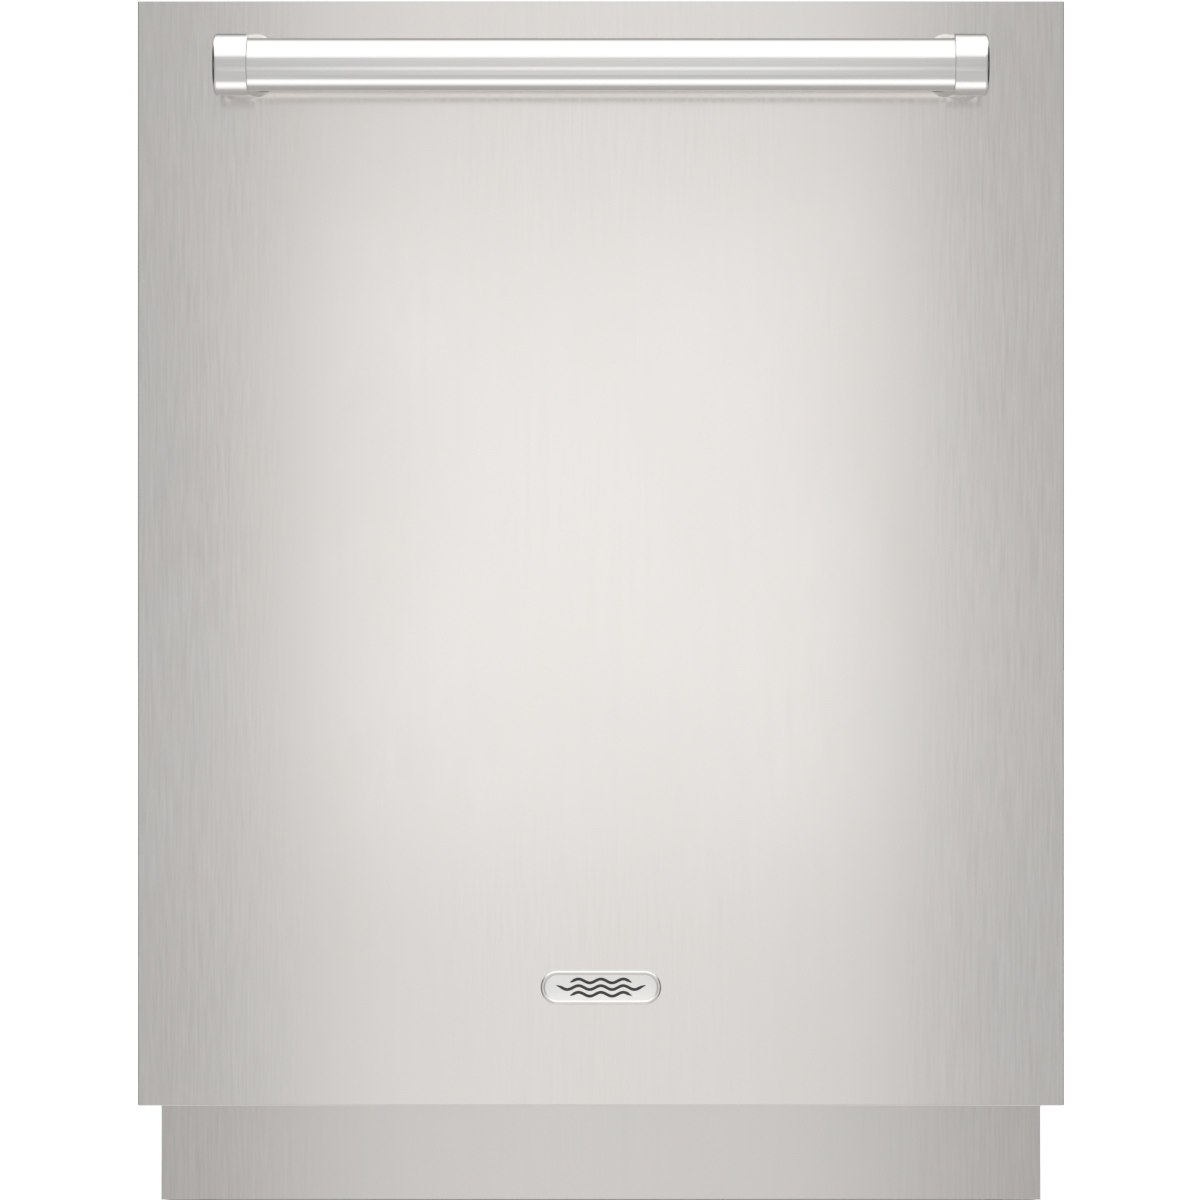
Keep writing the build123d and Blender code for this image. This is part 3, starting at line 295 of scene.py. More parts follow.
def sheet_metal(name, colour, roughness, spangle, waviness):
    """Plain drawn or galvanised sheet with faint spangle, rolling marks and pressing waves."""
    m = Maker(name)
    flakes = m.cells(spangle)
    grey = m.node("ShaderNodeSeparateColor")
    m.tree.links.new(flakes, grey.inputs[0])
    haze = m.noise(30, 4, 0.6)
    mixed = m.math("ADD", m.math("MULTIPLY", grey.outputs[0], 0.5), m.math("MULTIPLY", haze, 0.5))
    toned = m.blend(m.span(mixed, 0, 1), shade(colour, 0.93), shade(colour, 1.06))
    rough = m.span(haze, roughness - 0.06, roughness + 0.06)
    waves = m.noise(9, 2, 0.4)
    scratches = m.noise((900, 40, 900), 2, 0.6)
    normal = m.bump(scratches, 0.004 * MM, 0.5, under=m.bump(waves, waviness * MM))
    m.sockets(Base_Color=toned, Metallic=1.0, Roughness=rough, Normal=normal)
    return m.material


def moulded_plastic(name, colour, roughness, grain=1400, depth=0.012, coat=0.0):
    """Spark-eroded moulding texture with faint flow clouds and handling marks."""
    m = Maker(name)
    flow = m.noise((14, 14, 22), 3, 0.55, 0.6)
    speck = m.noise(grain, 2, 0.6)
    toned = m.blend(m.span(flow, 0, 1), shade(colour, 0.9), shade(colour, 1.08))
    flecked = m.blend(m.span(speck, 0, 0.12), toned, shade(colour, 1.3))
    marks = m.noise((60, 60, 45), 5, 0.7, 1.2)
    rough = m.span(marks, roughness - 0.07, roughness + 0.07)
    m.sockets(Base_Color=flecked, Roughness=rough, Normal=m.bump(speck, depth * MM), Coat_Weight=coat,
              Coat_Roughness=0.12, Specular_IOR_Level=0.45)
    return m.material


def make_rubber():
    m = Maker("rubber")
    bloom = m.noise(35, 5, 0.65)
    skin = m.noise(2200, 2, 0.6)
    toned = m.blend(m.span(bloom, 0, 1), (0.022, 0.022, 0.023), (0.05, 0.05, 0.05))
    m.sockets(Base_Color=toned, Roughness=m.span(bloom, 0.52, 0.72), Normal=m.bump(skin, 0.01 * MM),
              Specular_IOR_Level=0.35, Sheen_Weight=0.08)
    return m.material


def make_felt():
    """Grey shoddy felt: matted fibres of several colours."""
    m = Maker("felt")
    fibre = m.noise((420, 420, 420), 6, 0.75, 2.5)
    fleck = m.noise((260, 260, 260), 2, 0.5, 1.5)
    patch = m.noise(16, 3, 0.6)
    base = m.blend(m.span(fibre, 0, 1), (0.085, 0.085, 0.088), (0.36, 0.355, 0.345))
    light = m.blend(m.span(fleck, 0, 0.55, (0.58, 0.72)), base, (0.62, 0.6, 0.56))
    blue = m.blend(m.span(fleck, 0.4, 0, (0.28, 0.4)), light, (0.08, 0.12, 0.22))
    toned = m.blend(m.span(patch, 0, 0.25), blue, (0.22, 0.21, 0.2))
    m.sockets(Base_Color=toned, Roughness=0.95, Normal=m.bump(fibre, 0.9 * MM, 0.9), Sheen_Weight=0.35,
              Specular_IOR_Level=0.15)
    return m.material


def make_wire_coat():
    """Nylon-coated rack wire, slightly lumpy where the coat has run."""
    m = Maker("rack_wire")
    runs = m.noise(160, 2, 0.5)
    tone = m.noise(20, 2, 0.5)
    toned = m.blend(m.span(tone, 0, 1), (0.30, 0.315, 0.335), (0.36, 0.375, 0.395))
    m.sockets(Base_Color=toned, Roughness=m.span(runs, 0.26, 0.38), Normal=m.bump(runs, 0.12 * MM),
              Coat_Weight=0.35, Coat_Roughness=0.15)
    return m.material


def make_display():
    m = Maker("display")
    smear = m.noise((40, 120, 40), 4, 0.6, 1.0)
    toned = m.blend(m.span(smear, 0, 1), (0.004, 0.004, 0.005), (0.012, 0.012, 0.014))
    m.sockets(Base_Color=toned, Roughness=m.span(smear, 0.04, 0.12), Coat_Weight=1.0, Coat_Roughness=0.03)
    return m.material


def make_lens():
    m = Maker("lens")
    frost = m.noise(600, 3, 0.6)
    toned = m.blend(m.span(frost, 0, 1), (0.82, 0.84, 0.85), (0.95, 0.96, 0.97))
    m.sockets(Base_Color=toned, Roughness=m.span(frost, 0.3, 0.45), Normal=m.bump(frost, 0.02 * MM),
              Transmission_Weight=0.35, Subsurface_Weight=0.0)
    return m.material


STEEL = (0.80, 0.772, 0.75)


def make_materials():
    return {
        "brushed_stainless": brushed_metal("brushed_stainless", STEEL, "Z", 0.145, 0.022, 0.0004),
        # The kickplate's copy of the door steel, painted 0.88 times as bright: painted shade for its recess
        # under the door.
        "kick_painted_shade_stainless": brushed_metal("kick_painted_shade_stainless", shade(STEEL, 0.88), "Z", 0.16, 0.022, 0.0004),
        "polished_handle": brushed_metal("polished_handle", (0.86, 0.85, 0.84), "X", 0.15, 0.015, 0.0006),
        "badge_metal": brushed_metal("badge_metal", (0.93, 0.92, 0.9), "X", 0.22, 0.015, 0.001),
        "tub_stainless": sheet_metal("tub_stainless", (0.72, 0.72, 0.72), 0.24, 1400, 0.25),
        "galvanised": sheet_metal("galvanised", (0.58, 0.6, 0.62), 0.42, 190, 0.2),
        "bright_steel": sheet_metal("bright_steel", (0.7, 0.7, 0.71), 0.26, 900, 0.05),
        "black_plastic": moulded_plastic("black_plastic", (0.03, 0.03, 0.032), 0.5),
        "grey_plastic": moulded_plastic("grey_plastic", (0.3, 0.31, 0.33), 0.42),
        "white_plastic": moulded_plastic("white_plastic", (0.72, 0.72, 0.7), 0.4),
        "control_black": moulded_plastic("control_black", (0.022, 0.022, 0.024), 0.36, 1800, 0.006, 0.2),
        "button_metal": moulded_plastic("button_metal", (0.45, 0.45, 0.46), 0.3, 1800, 0.004, 0.3),
        "display_black": make_display(),
        "rubber": make_rubber(),
        "rack_wire": make_wire_coat(),
        "blanket_felt": make_felt(),
        "damping_board": moulded_plastic("damping_board", (0.045, 0.044, 0.043), 0.8, 500, 0.08),
        "lens": make_lens(),
        "pump_metal": sheet_metal("pump_metal", (0.5, 0.51, 0.52), 0.45, 700, 0.1),
    }


def dress_cad_nodes(materials):
    """Every carried-over CAD node gets the procedural material of its slot, except the kickplate, which gets
    a darker copy of the door steel as painted shade.
    """
    for sub in frame["record"]["subparts"]:
        # The kickplate takes the darker steel copy: painted shade for its recess.
        finish = "kick_painted_shade_stainless" if sub["node"] == "kickplate" else sub["material_slot"]
        mesh = nodes[sub["node"]].data
        mesh.materials.clear()
        mesh.materials.append(materials[finish])


def make_floor():
    m = Maker("studio_floor")
    dust = m.noise(3, 3, 0.5)
    toned = m.blend(m.span(dust, 0, 1), (0.9, 0.9, 0.9), (0.93, 0.93, 0.93))
    m.sockets(Base_Color=toned, Roughness=0.9, Specular_IOR_Level=0.1, Emission_Color=(1, 1, 1, 1),
              Emission_Strength=0.55)
    mesh = bpy.data.meshes.new("studio_floor")
    reach = 30.0
    mesh.from_pydata([(-reach, -reach, 0), (reach, -reach, 0), (reach, reach, 0), (-reach, reach, 0)], [],
                     [(0, 1, 2, 3)])
    mesh.materials.append(m.material)
    floor = bpy.data.objects.new("studio_floor", mesh)
    floor.visible_glossy = False
    floor.visible_shadow = False
    bpy.context.scene.collection.objects.link(floor)


# ---- pieces modelled here: millimetres as x, depth behind the door panel's face, z ----
def spread(low, high, count):
    """Evenly spaced values, both ends included."""
    return [low + (high - low) * i / (count - 1) for i in range(count)]


def rounded(points, radius, steps=6, closed=False):
    """A polyline with its corners turned into arcs."""
    points = [Vector(p) for p in points]
    path = []
    for i, corner in enumerate(points):
        if not closed and i in (0, len(points) - 1):
            path.append(corner)
            continue
        back, ahead = points[i - 1] - corner, points[(i + 1) % len(points)] - corner
        half = back.angle(ahead) / 2
        reach = min(radius / math.tan(half), back.length * 0.48, ahead.length * 0.48)
        back, ahead = back.normalized(), ahead.normalized()
        centre = corner + (back + ahead).normalized() * (reach / math.cos(half))
        first, last = corner + back * reach - centre, corner + ahead * reach - centre
        path += [centre + first.normalized().slerp(last.normalized(), k / steps) * first.length
                 for k in range(steps + 1)]
    return path


def ring_faces(rings, count, closed):
    """Quads between neighbouring rings of count points each."""
    faces = []
    for i in range(rings if closed else rings - 1):
        here, there = i * count, (i + 1) % rings * count
        for k in range(count):
            ahead = (k + 1) % count
            faces.append((here + k, here + ahead, there + ahead, there + k))
    return faces


class Piece:
    """One piece's mesh, put together from skins and tubes."""

    def __init__(self):
        self.points, self.faces = [], []

    def add(self, points, faces):
        base = len(self.points)
        self.points += [tuple(p) for p in points]
        self.faces += [tuple(base + i for i in face) for face in faces]

    def skin(self, rings, closed=False):
        """A surface over rings of equally many points, with its open ends filled."""
        count = len(rings[0])
        faces = ring_faces(len(rings), count, closed)
        if not closed:
            faces += [tuple(range(count))[::-1], tuple(range((len(rings) - 1) * count, len(rings) * count))]
        self.add([p for ring in rings for p in ring], faces)

    def sweep(self, path, outline, closed=False, up=None, scales=None):
        """The outline, pairs across and up from the path, carried along it without twisting."""
        path = [Vector(p) for p in path]
        count = len(path)
        rings, across = [], None
        for i, place in enumerate(path):
            before = path[i - 1] if closed or i else place
            after = path[(i + 1) % count] if closed or i < count - 1 else place
            heading = (after - before).normalized()
            if across is None:
                across = heading.cross(Vector(up)) if up else heading.orthogonal()
            across = (across - heading * across.dot(heading)).normalized()
            rise = across.cross(heading)
            size = scales[i] if scales else 1
            rings.append([place + across * a * size + rise * b * size for a, b in outline])
        self.skin(rings, closed)

    def tube(self, path, radius, sides=8, closed=False, tip=False):
        """A round bar along a path, with its far end domed if it has a tip."""
        circle = [(radius * math.cos(2 * math.pi * k / sides), radius * math.sin(2 * math.pi * k / sides))
                  for k in range(sides)]
        path, scales = [Vector(p) for p in path], [1] * len(path)
        if tip:
            heading = (path[-1] - path[-2]).normalized()
            end = path.pop() - heading * radius
            scales.pop()
            for angle in (0, 25, 50, 72, 86):
                path.append(end + heading * radius * math.sin(math.radians(angle)))
                scales.append(math.cos(math.radians(angle)))
        self.sweep(path, circle, closed, scales=scales)

    def box(self, x, depth, z, chamfer=0.4):
        """A block with small chamfers, from its low and high values."""
        rings, c = [], chamfer
        for height, inset in ((z[0], c), (z[0] + c, 0), (z[1] - c, 0), (z[1], c)):
            x0, x1, y0, y1 = x[0] + inset, x[1] - inset, depth[0] + inset, depth[1] - inset
            outline = ((x0 + c, y0), (x1 - c, y0), (x1, y0 + c), (x1, y1 - c),
                       (x1 - c, y1), (x0 + c, y1), (x0, y1 - c), (x0, y0 + c))
            rings.append([(a, b, height) for a, b in outline])
        self.skin(rings)

    def build(self, name, slot, body="cabinet", replaced=(), sharp=38, material=None):
        """The mesh as an object that rides on a body and has its slot's finish."""
        mesh = bpy.data.meshes.new(name)
        places = [(x * MM, PANEL_FACE + y * MM, z * MM) for x, y, z in self.points]
        mesh.from_pydata(places, [], self.faces)
        shell = bmesh.new()
        shell.from_mesh(mesh)
        bmesh.ops.recalc_face_normals(shell, faces=shell.faces)
        shell.to_mesh(mesh)
        shell.free()
        mesh.shade_smooth()
        mesh.set_sharp_from_angle(angle=math.radians(sharp))
        mesh.materials.append(material or materials[slot])
        made = bpy.data.objects.new(name, mesh)
        bpy.context.scene.collection.objects.link(made)
        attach(made, body)
        if replaced:
            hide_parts(*replaced)
        return made


# ---- badge ----
BADGE_Z, BADGE_LENGTH, BADGE_WIDTH = 170.7, 78.0, 22.0
# The badge's section from its back edge to its field: distance in from the outline, height off the door.
BADGE_SECTION = ((0.0, 0.0), (0.0, 1.2), (0.22, 1.72), (0.6, 2.06), (1.1, 2.2), (1.7, 2.2), (2.15, 2.06),
                 (2.4, 1.85), (2.9, 1.8))
BADGE_WAVES = ((4.3, 20.0), (0.0, 29.0), (-4.3, 20.0))     # height above the badge's middle, half length
WAVE_SWING, WAVE_LENGTH, WAVE_HALF_WIDTH = 1.25, 14.5, 1.0
WAVE_FOOT, WAVE_FACE, WAVE_BEVEL = -1.75, -1.95, 0.86


def pill_outline(length, width, steps=28):
    """Outline of a slot shape in x and z, around zero."""
    radius, reach = width / 2, (length - width) / 2
    points = []
    for side in (1, -1):
        for k in range(steps + 1):
            angle = math.radians((90 if side > 0 else 270) - 180 * k / steps)
            points.append((side * reach + radius * math.cos(angle), radius * math.sin(angle)))
    return points


def make_badge():
    plate = Piece()
    plate.skin([[(x, -height, BADGE_Z + z)
                 for x, z in pill_outline(BADGE_LENGTH - 2 * inset, BADGE_WIDTH - 2 * inset)]
                for inset, height in BADGE_SECTION])
    plate.build("badge_plate", "badge_metal", "door", ("badge",), sharp=60)
    mark = Piece()
    for lift, reach in BADGE_WAVES:
        line = [(x, BADGE_Z + lift + WAVE_SWING * math.cos(x * 2 * math.pi / WAVE_LENGTH))
                for x in spread(-reach, reach, 97)]
        last = len(line) - 1
        sections = []
        for i, (x, z) in enumerate(line):
            (x0, z0), (x1, z1) = line[max(i - 1, 0)], line[min(i + 1, last)]
            along = Vector((x1 - x0, z1 - z0)).normalized()
            half = WAVE_HALF_WIDTH * min(1, 0.25 + min(i, last - i) / 8)        # pointed at both ends
            side = Vector((-along.y, along.x)) * half
            top = side * WAVE_BEVEL
            sections.append([(x - side.x, WAVE_FOOT, z - side.y), (x + side.x, WAVE_FOOT, z + side.y),
                             (x + top.x, WAVE_FACE, z + top.y), (x - top.x, WAVE_FACE, z - top.y)])
        mark.skin(sections)
    mark.build("badge_waves", "control_black", "door")


# ---- chassis ----
CHASSIS_SIDE = 296.0
SCREW_SEATS = [(u, 780.0) for u in (84.0, 334.0, 584.0)] + [(u, 46.0) for u in (210.0, 510.0)]
# Radius and height of the head from its washer to the recess, then reach and height down into the recess.
SCREW_HEAD = ((4.9, -0.1), (4.9, 0.5), (4.7, 0.65), (4.1, 0.7), (3.95, 1.1), (3.7, 1.7), (3.3, 2.1),
              (2.9, 2.3))
SCREW_RECESS = ((2.5, 2.4), (2.35, 2.2), (1.5, 0.7), (0.3, 0.5))
SCREW_SIDES = 96


def cross_outline(reach, steps):
    """Outline of a plus-shaped recess, whose bars are about a quarter as wide as long."""
    width = reach * math.tan(math.radians(15))
    points = []
    for k in range(steps):
        angle = 2 * math.pi * k / steps
        c, s = abs(math.cos(angle)) + 1e-9, abs(math.sin(angle)) + 1e-9     # never zero
        radius = max(min(reach / c, width / s), min(width / c, reach / s))
        points.append((radius * math.cos(angle), radius * math.sin(angle)))
    return points


def make_screws():
    """Domed chassis screws with a tapered cross recess and a washer flange."""
    turns = [2 * math.pi * k / SCREW_SIDES for k in range(SCREW_SIDES)]
    circle = [(math.cos(turn), math.sin(turn)) for turn in turns]
    cross = cross_outline(1.0, SCREW_SIDES)
    sections = [(circle, r, h) for r, h in SCREW_HEAD] + [(cross, r, h) for r, h in SCREW_RECESS]
    heads = Piece()
    for side in (-1, 1):
        for i, (u, z) in enumerate(SCREW_SEATS):
            turn = math.radians(17 + 37 * i + 11 * side)
            c, s = math.cos(turn), math.sin(turn)
            heads.skin([[(side * (CHASSIS_SIDE + height),
                          u + radius * (a * c - b * s), z + radius * (a * s + b * c))
                         for a, b in outline] for outline, radius, height in sections])
    heads.build("screws", "bright_steel", replaced=("chassis_screws",), sharp=30)


SPRING_X, SPRING_Z, SPRING_RADIUS, SPRING_WIRE = 276.0, 106.0, 6.7, 1.25
SPRING_FRONT, SPRING_REAR, SPRING_TURNS, TURN_STEPS = 152.0, 428.0, 98, 14
# The front hook, across from the spring's axis and depth, from its tip to the coil.
HOOK_LINE = ((-3.2, 129.5), (-3.2, 125.3), (3.2, 125.3), (3.2, 136), (0, 141), (0, 148))


def make_springs():
    """Close-wound counterbalance springs with a bent hook at each end."""
    coils = Piece()
    for side in (-1, 1):
        x, steps = side * SPRING_X, SPRING_TURNS * TURN_STEPS
        helix = []
        for k in range(steps + 1):
            angle = 2 * math.pi * k / TURN_STEPS
            helix.append((x + SPRING_RADIUS * math.cos(angle),
                          SPRING_FRONT + (SPRING_REAR - SPRING_FRONT) * k / steps,
                          SPRING_Z + SPRING_RADIUS * math.sin(angle)))
        front_hook = rounded([(x + across, u, SPRING_Z) for across, u in HOOK_LINE], 3, 5)
        rear_hook = [(px, SPRING_FRONT + SPRING_REAR - u, z) for px, u, z in front_hook][::-1]
        path = rounded(front_hook + [Vector(helix[0])], 1, 2)[:-1] + [Vector(p) for p in helix]
        coils.tube(path + rear_hook, SPRING_WIRE, 7)
    coils.build("springs", "bright_steel", replaced=("door_springs",), sharp=60)


# The gasket's section, across the strip and forward from the tub flange: foot, neck and bulb.
GASKET_SECTION = ((-5.6, 0.0), (-5.9, -0.9), (-5.4, -1.7), (-3.0, -2.0), (-2.6, -2.8), (-4.4, -4.2),
                  (-5.2, -6.2), (-4.9, -8.2), (-3.6, -9.8), (-1.6, -10.7), (0.9, -10.7), (3.2, -9.7),
                  (4.7, -8.0), (5.1, -6.0), (4.3, -4.1), (2.6, -2.8), (3.0, -2.0), (5.4, -1.7),
                  (5.9, -0.9), (5.6, 0.0))
SILL_SECTION = ((-3.8, 0.0), (-3.8, -2.0), (-2.0, -2.6), (-1.2, -6.5), (0.4, -10.2), (1.6, -10.4),
                (2.0, -9.6), (1.4, -6.0), (2.2, -2.6), (3.8, -2.0), (3.8, 0.0))
GASKET_REACH = 10.7         # depth of the gasket's section
GASKET_LINE = ((-278, 0, 144), (-278, 0, 791), (278, 0, 791), (278, 0, 144))
SILL_HALF, SILL_Z = 254, 132


def make_gasket():
    """Bulb seal round the tub's mouth and the wiper blade along the sill."""
    low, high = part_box("tub_gasket")
    flange = (high.y - PANEL_FACE) / MM - 0.02
    scale = (high.y - low.y) / MM / GASKET_REACH * 0.99
    path = rounded(GASKET_LINE, 7.0, 8)
    seal = Piece()
    rings = []
    for i, p in enumerate(path):
        heading = (path[min(i + 1, len(path) - 1)] - path[max(i - 1, 0)]).normalized()
        outward = Vector((-heading.z, 0, heading.x))
        rings.append([p + outward * a + Vector((0, flange + b * scale, 0)) for a, b in GASKET_SECTION])
    seal.skin(rings)
    seal.skin([[(x, flange + b * scale * 0.94, SILL_Z + a) for a, b in SILL_SECTION]
               for x in spread(-SILL_HALF, SILL_HALF, 3)])
    seal.build("gasket", "rubber", replaced=("tub_gasket",), sharp=50)


# ---- felt blanket ----
BLANKET_HALF, BLANKET_FRONT, BLANKET_BOTTOM = 272.0, 124.0, 190.0
BLANKET_TOP, BLANKET_REAR = 801.6, 577.6      # where it lies on the tub
TOP_THICKNESS, REAR_THICKNESS = 9.2, 16.2
STITCH = 2.2                # half a hem stitch's length
TUFT, HEM = 88.0, 9.0        # spacing of the diamond stitches, width of the hem


def blanket_thickness(along, across, full, ends):
    """Felt held down by stitches in a diamond grid and by its stitched edges."""
    diagonal = math.cos(math.pi * (along + across) / TUFT) * math.cos(math.pi * (along - across) / TUFT)
    tuft = 0.72 + 0.28 * (1 - abs(diagonal) ** 6)
    lumps = 0.035 * math.sin(along / 17.0 + 1.7 * math.sin(across / 29.0)) * math.cos(across / 21.0)
    lumps += 0.03 * math.sin(across / 8.3 + along / 11.9) + 0.02 * math.sin(along / 5.1 - across / 7.7)
    edge = min(ends, BLANKET_HALF - abs(across))
    if edge < HEM:
        hem = 0.62 - 0.24 * (edge / HEM) ** 4
    else:
        hem = 1 - 0.62 * math.exp(-((edge - HEM) / 3.2) ** 2)
    round_off = min(1, math.sqrt(max(edge, 0) / 2.5))
    return full * min(tuft + lumps, 1.0) * hem * max(round_off, 0.12)


def make_blanket():
    """One felt mat over the tub's top and down its back, quilted and hemmed."""
    run_top = BLANKET_REAR - BLANKET_FRONT
    total = run_top + BLANKET_TOP - BLANKET_BOTTOM
    stations = spread(0, total, 205)
    columns = spread(-BLANKET_HALF, BLANKET_HALF, 107)
    outer, inner = [], []
    for s in stations:
        turn = min(max((s - run_top + 12) / 24, 0), 1)          # how far round the rear edge
        angle = turn * math.pi / 2
        if s <= run_top:
            base = Vector((0, BLANKET_FRONT + s, BLANKET_TOP))
        else:
            base = Vector((0, BLANKET_REAR, BLANKET_TOP - (s - run_top)))
        outward = Vector((0, math.sin(angle), math.cos(angle)))
        full = TOP_THICKNESS + (REAR_THICKNESS - TOP_THICKNESS) * turn
        for x in columns:
            thick = blanket_thickness(s, x, full, min(s, total - s))
            outer.append(base + Vector((x, 0, 0)) + outward * thick)
            inner.append(base + Vector((x, 0, 0)) + outward * 0.05)
    rows, cols = len(stations), len(columns)
    faces = []
    for layer in (0, 1):
        shift = layer * rows * cols
        for i in range(rows - 1):
            for j in range(cols - 1):
                a = shift + i * cols + j
                faces.append((a, a + 1, a + cols + 1, a + cols))
    border = list(range(cols)) + [i * cols + cols - 1 for i in range(1, rows)]
    border += [(rows - 1) * cols + j for j in range(cols - 2, -1, -1)]
    border += [i * cols for i in range(rows - 2, 0, -1)]
    for k, a in enumerate(border):
        b = border[(k + 1) % len(border)]
        faces.append((a, b, b + rows * cols, a + rows * cols))
    mat = Piece()
    mat.add(outer + inner, faces)
    blanket = mat.build("felt_blanket", "blanket_felt", replaced=("insulation_blanket",), sharp=80)
    stitches = Piece()
    for side in (-1, 1):
        for s in spread(14, total - 14, 150):
            x = side * (BLANKET_HALF - 10.5)
            full = TOP_THICKNESS if s < run_top else REAR_THICKNESS
            thick = blanket_thickness(s, x, full, min(s, total - s)) + 0.3
            if s < run_top - 14:
                place, along = Vector((x, BLANKET_FRONT + s, BLANKET_TOP + thick)), Vector((0, STITCH, 0))
            elif s > run_top + 14:
                place = Vector((x, BLANKET_REAR + thick, BLANKET_TOP - (s - run_top)))
                along = Vector((0, 0, -STITCH))
            else:
                continue
            stitches.tube([place - along, place + along], 0.55, 5, tip=True)
    stitches.build("blanket_stitches", "blanket_felt", material=materials["white_plastic"])


# ---- racks ----
WIRE, WELD = 2.0, 2.4
RAIL_FRONT, RAIL_REAR = 83.6, 556.4
WALL_FRONT, WALL_REAR, BEND = 86, 554, 9
DIP_START, DIP_END = 90, 160.0      # where the rim comes down towards the front
ACROSS_DEPTHS = spread(88.3, 551.7, 15)[1:-1]
TINE_XS = spread(-209, 209, 12)


def rack_shell(wires, half, floor, rim, front_rim):
    """U-shaped wires both ways, welded rails, and one rim wire that dips towards the front."""
    wall, side = half + 2.3, half - 0.1         # middle of the side walls, and of the rails inside them
    high, low = rim - WIRE, front_rim - WIRE

    def wire_top(depth):
        share = min(max((depth - DIP_START) / (DIP_END - DIP_START), 0), 1)
        return low + (rim - front_rim) * share + 1

    for x in spread(-half + 8, half - 8, 11):
        ends = (x, WALL_FRONT, front_rim - 1), (x, WALL_REAR, rim - 1)
        wires.tube(rounded([ends[0], (x, WALL_FRONT, floor), (x, WALL_REAR, floor), ends[1]], BEND), WIRE)
    for depth in ACROSS_DEPTHS:
        top = wire_top(depth)
        wires.tube(rounded([(-wall, depth, top), (-wall, depth, floor + WELD), (wall, depth, floor + WELD),
                            (wall, depth, top)], BEND), WIRE)
    loop = [(-side, RAIL_REAR, high), (-side, DIP_END, high), (-side, RAIL_FRONT, low),
            (side, RAIL_FRONT, low), (side, DIP_END, high), (side, RAIL_REAR, high)]
    wires.tube(rounded(loop, 13, 8, closed=True), 2.3, 10, closed=True)
    middle, front_middle = (floor + rim) / 2, (floor + front_rim) / 2
    for sign in (-1, 1):
        wires.tube([(sign * side, 92, front_middle), (sign * side, 548, middle)], WIRE)
    wires.tube([(-half + 4, RAIL_FRONT, front_middle), (half - 4, RAIL_FRONT, front_middle)], WIRE)
    wires.tube([(-half + 4, RAIL_REAR, middle), (half - 4, RAIL_REAR, middle)], WIRE)


def tine(wires, x, depth, bottom, height):
    """An upright wire with a round tip and a weld at its foot."""
    wires.tube([(x, depth, bottom), (x, depth, bottom + height)], WIRE, tip=True)
    wires.tube([(x, depth, bottom - 1), (x, depth, bottom + 3.2)], 2.7, 8, tip=True)


LOWER_FLOOR, UPPER_FLOOR = 182.0, 466.0
WHEEL_Z, HANGER_X = 153.3, 246.3
LOWER_TINE_DEPTHS, WHEEL_DEPTHS = (130.0, 196.0, 400.0), (284.0, 520.0)
UPPER_TINE_XS = (-96, -32, 32, 96)


def make_lower_rack():
    wires = Piece()
    rack_shell(wires, 244.0, LOWER_FLOOR, 300.0, 258.0)
    bottom = LOWER_FLOOR + WELD
    for depth in LOWER_TINE_DEPTHS:
        wires.tube([(-236, depth, bottom), (236, depth, bottom)], WIRE)
        for x in TINE_XS:
            tine(wires, x, depth, bottom, 90.0)
    for side in (-1, 1):
        for depth in WHEEL_DEPTHS:
            x = side * HANGER_X
            low, high = sorted((x - side * 1.5, x + side * 1.5))
            wires.box((low, high), (depth - 14, depth + 14), (146.3, 194.0), 0.9)
            wires.tube([(x, depth, WHEEL_Z), (x + side * 15, depth, WHEEL_Z)], 3.0, 20)
            stop = [(x + side * reach, depth, WHEEL_Z) for reach in (13, 15.2)]
            wires.tube(stop, 5.0, 24, tip=True)
    wires.build("lower_rack_wires", "rack_wire", "lower_rack", ("lower_basket",))


def make_upper_rack():
    wires = Piece()
    rack_shell(wires, 236.0, UPPER_FLOOR, 560.0, 546.0)
    for x in UPPER_TINE_XS:
        for depth in ACROSS_DEPTHS:
            tine(wires, x, depth, UPPER_FLOOR + WELD, 54.0)
    wires.build("upper_rack_wires", "rack_wire", "upper_rack", ("upper_basket",))


FOLD_DEPTH, FOLD_Z = 300.0, 188.55


def make_fold_row():
    """Folding tines on their pivot rod, with a foot welded to the rod at each tine."""
    wires = Piece()
    wires.tube([(-228, FOLD_DEPTH, FOLD_Z), (228, FOLD_DEPTH, FOLD_Z)], WIRE, 12, tip=True)
    for x in TINE_XS:
        wires.tube([(x, FOLD_DEPTH, FOLD_Z), (x, FOLD_DEPTH, FOLD_Z + 84)], WIRE, tip=True)
        wires.tube([(x, FOLD_DEPTH, FOLD_Z + 0.5), (x, FOLD_DEPTH, FOLD_Z + 6)], 2.6, 8, tip=True)
    wires.build("fold_row_wires", "rack_wire", "fold_row", ("fold_tines",))


SHELF_WIRE = 1.6


def make_shelves():
    """Cup shelves: a bent frame wire, lengthwise bars, and cross bars welded on top."""
    front, rear = 130, 510
    for side, name in ((-1, "left"), (1, "right")):
        wires = Piece()
        inner, outer, z = side * 132.0, side * 228.0, 536.0
        frame_line = [(inner, front, z), (inner, rear, z), (outer, rear, z), (outer, front, z)]
        wires.tube(rounded(frame_line, 7, 6, closed=True), SHELF_WIRE, 8, closed=True)
        for x in (side * 164.0, side * 196.0):
            wires.tube([(x, front, z), (x, rear, z)], SHELF_WIRE)
        for depth in spread(front, rear, 8)[1:-1]:
            wires.tube([(inner, depth, z + 1.9), (outer, depth, z + 1.9)], SHELF_WIRE)
        wires.build("shelf_wires_" + name, "rack_wire", "shelf_" + name, ("cup_shelf_" + name,))


COMB_DEPTHS = (103.0, 169.0, 269.0, 359.0, 449.0, 526.0)
COMB_SPANS = ((-235.0, -92.4), (-87.6, 87.6), (92.4, 235.0))
COMB_FOOT, COMB_MIDDLE, TOOTH_RISE, TOOTH_PITCH = 695.1, 703.5, 5.0, 11.9


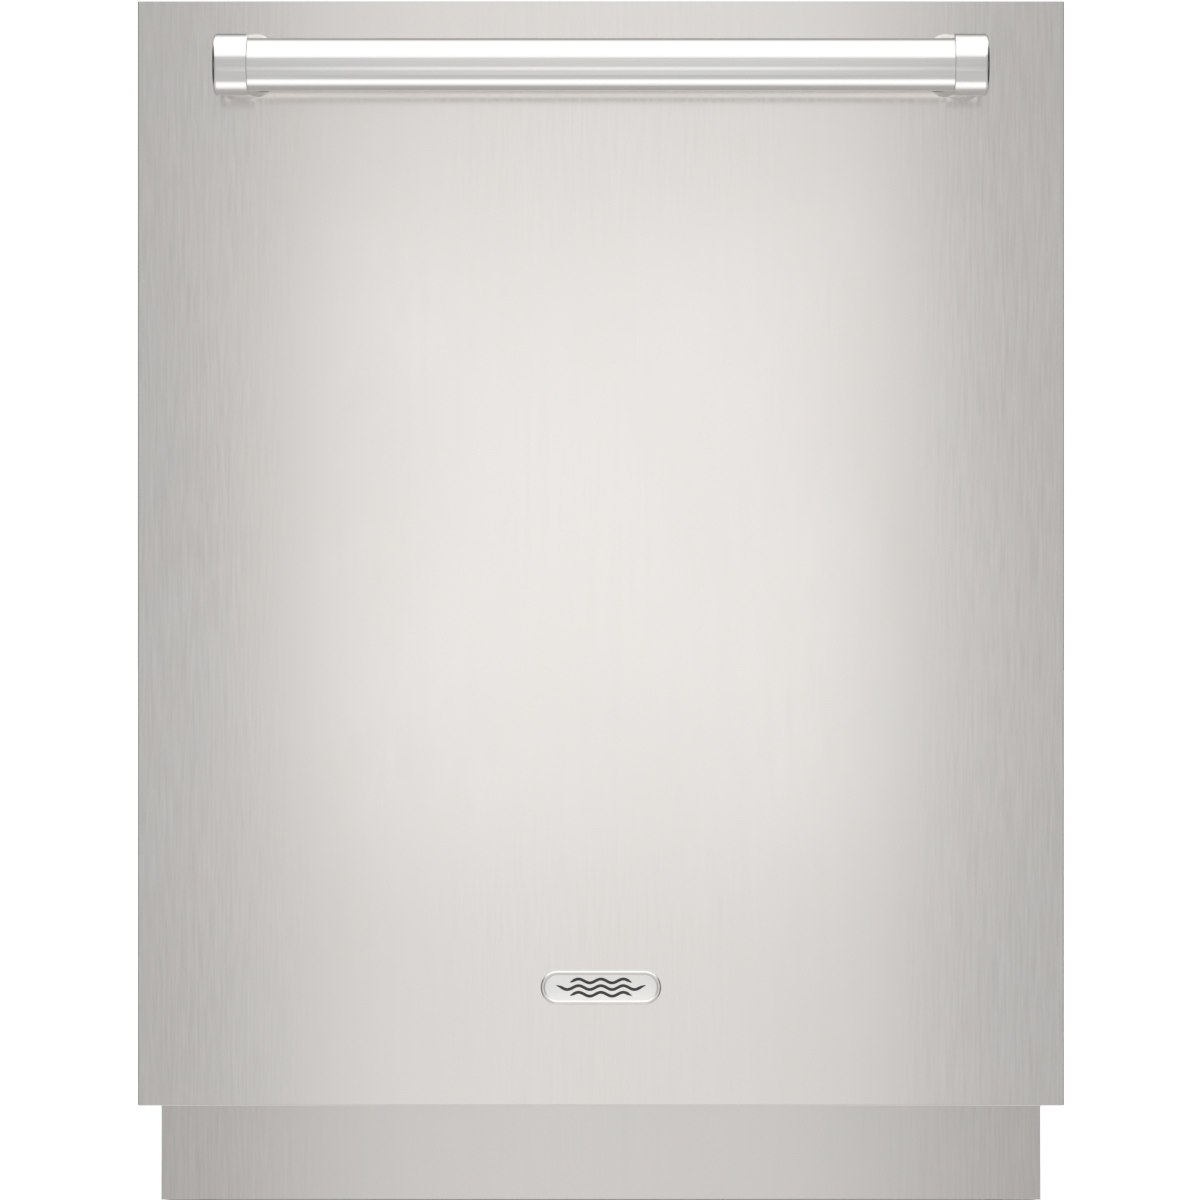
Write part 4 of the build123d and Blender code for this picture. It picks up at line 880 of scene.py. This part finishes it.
def make_tray_combs():
    """Toothed combs that hold the cutlery apart, on the tray's floor."""
    combs = Piece()
    for depth in COMB_DEPTHS:
        for left, right in COMB_SPANS:
            count = int((right - left) / 1.5)
            tops = []
            for k in range(count + 1):
                x = left + (right - left) * k / count
                wave = math.cos(2 * math.pi * (x - left) / TOOTH_PITCH)
                tops.append((x, COMB_MIDDLE + TOOTH_RISE * math.copysign(abs(wave) ** 0.7, wave)))
            outline = [(left, COMB_FOOT)] + tops + [(right, COMB_FOOT)]
            combs.skin([[(x, depth + shift, z) for x, z in outline] for shift in (-0.9, 0.9)])
    combs.build("tray_combs", "grey_plastic", "tray")


# ---- control strip ----
STRIP_TOP = 806.0
ICON_DEPTH, SYMBOL_STROKE = 28.2, 0.55


def make_strip_marks():
    """Plain symbols ahead of the buttons, and bars of light behind the display window."""
    marks = Piece()

    def line(points, closed=False):
        marks.tube([(x, y, STRIP_TOP) for x, y in points], SYMBOL_STROKE / 2, 6, closed=closed)

    def arc(x, radius, start, end, steps=20):
        return [(x + radius * math.sin(math.radians(a)), ICON_DEPTH - radius * math.cos(math.radians(a)))
                for a in spread(start, end, steps)]

    line(arc(-252, 2.2, 35, 325))
    line([(-252, ICON_DEPTH - 2.9), (-252, ICON_DEPTH)])
    for shift in (-2.2, 0, 2.2):
        line([(-62.5, ICON_DEPTH + shift), (-57.5, ICON_DEPTH + shift)])
    line(arc(60, 2.3, 0, 342))
    line([(60, ICON_DEPTH - 1.4), (60, ICON_DEPTH + 1.4)])
    line([(58.6, ICON_DEPTH), (61.4, ICON_DEPTH)])
    line(arc(110, 2.4, 0, 342))
    line([(110, ICON_DEPTH - 1.6), (110, ICON_DEPTH), (111.4, ICON_DEPTH + 0.8)])
    triangle = [(248.2, ICON_DEPTH - 2.3), (252.2, ICON_DEPTH), (248.2, ICON_DEPTH + 2.3)]
    line(triangle, closed=True)
    marks.build("strip_symbols", "white_plastic", "door")
    bars = Piece()
    for x in spread(-192, -108, 8):
        bars.box((x - 3.6, x + 3.6), (37.2, 38.8), (STRIP_TOP + 0.12, STRIP_TOP + 0.3), 0.06)
    glow = Maker("display_glow")
    grain = glow.noise(900, 2, 0.5)
    glow.sockets(Base_Color=(0.02, 0.05, 0.06, 1), Roughness=0.3, Emission_Color=(0.45, 0.85, 1.0, 1),
                 Emission_Strength=glow.span(grain, 1.1, 1.6))
    bars.build("display_bars", "display_black", "door", material=glow.material)


make_camera()
make_lights()
make_world()
make_floor()
bpy.context.scene.view_settings.view_transform = "Standard"
materials = make_materials()
dress_cad_nodes(materials)
make_badge()
make_screws()
make_springs()
make_gasket()
make_blanket()
make_lower_rack()
make_upper_rack()
make_fold_row()
make_shelves()
make_tray_combs()
make_strip_marks()
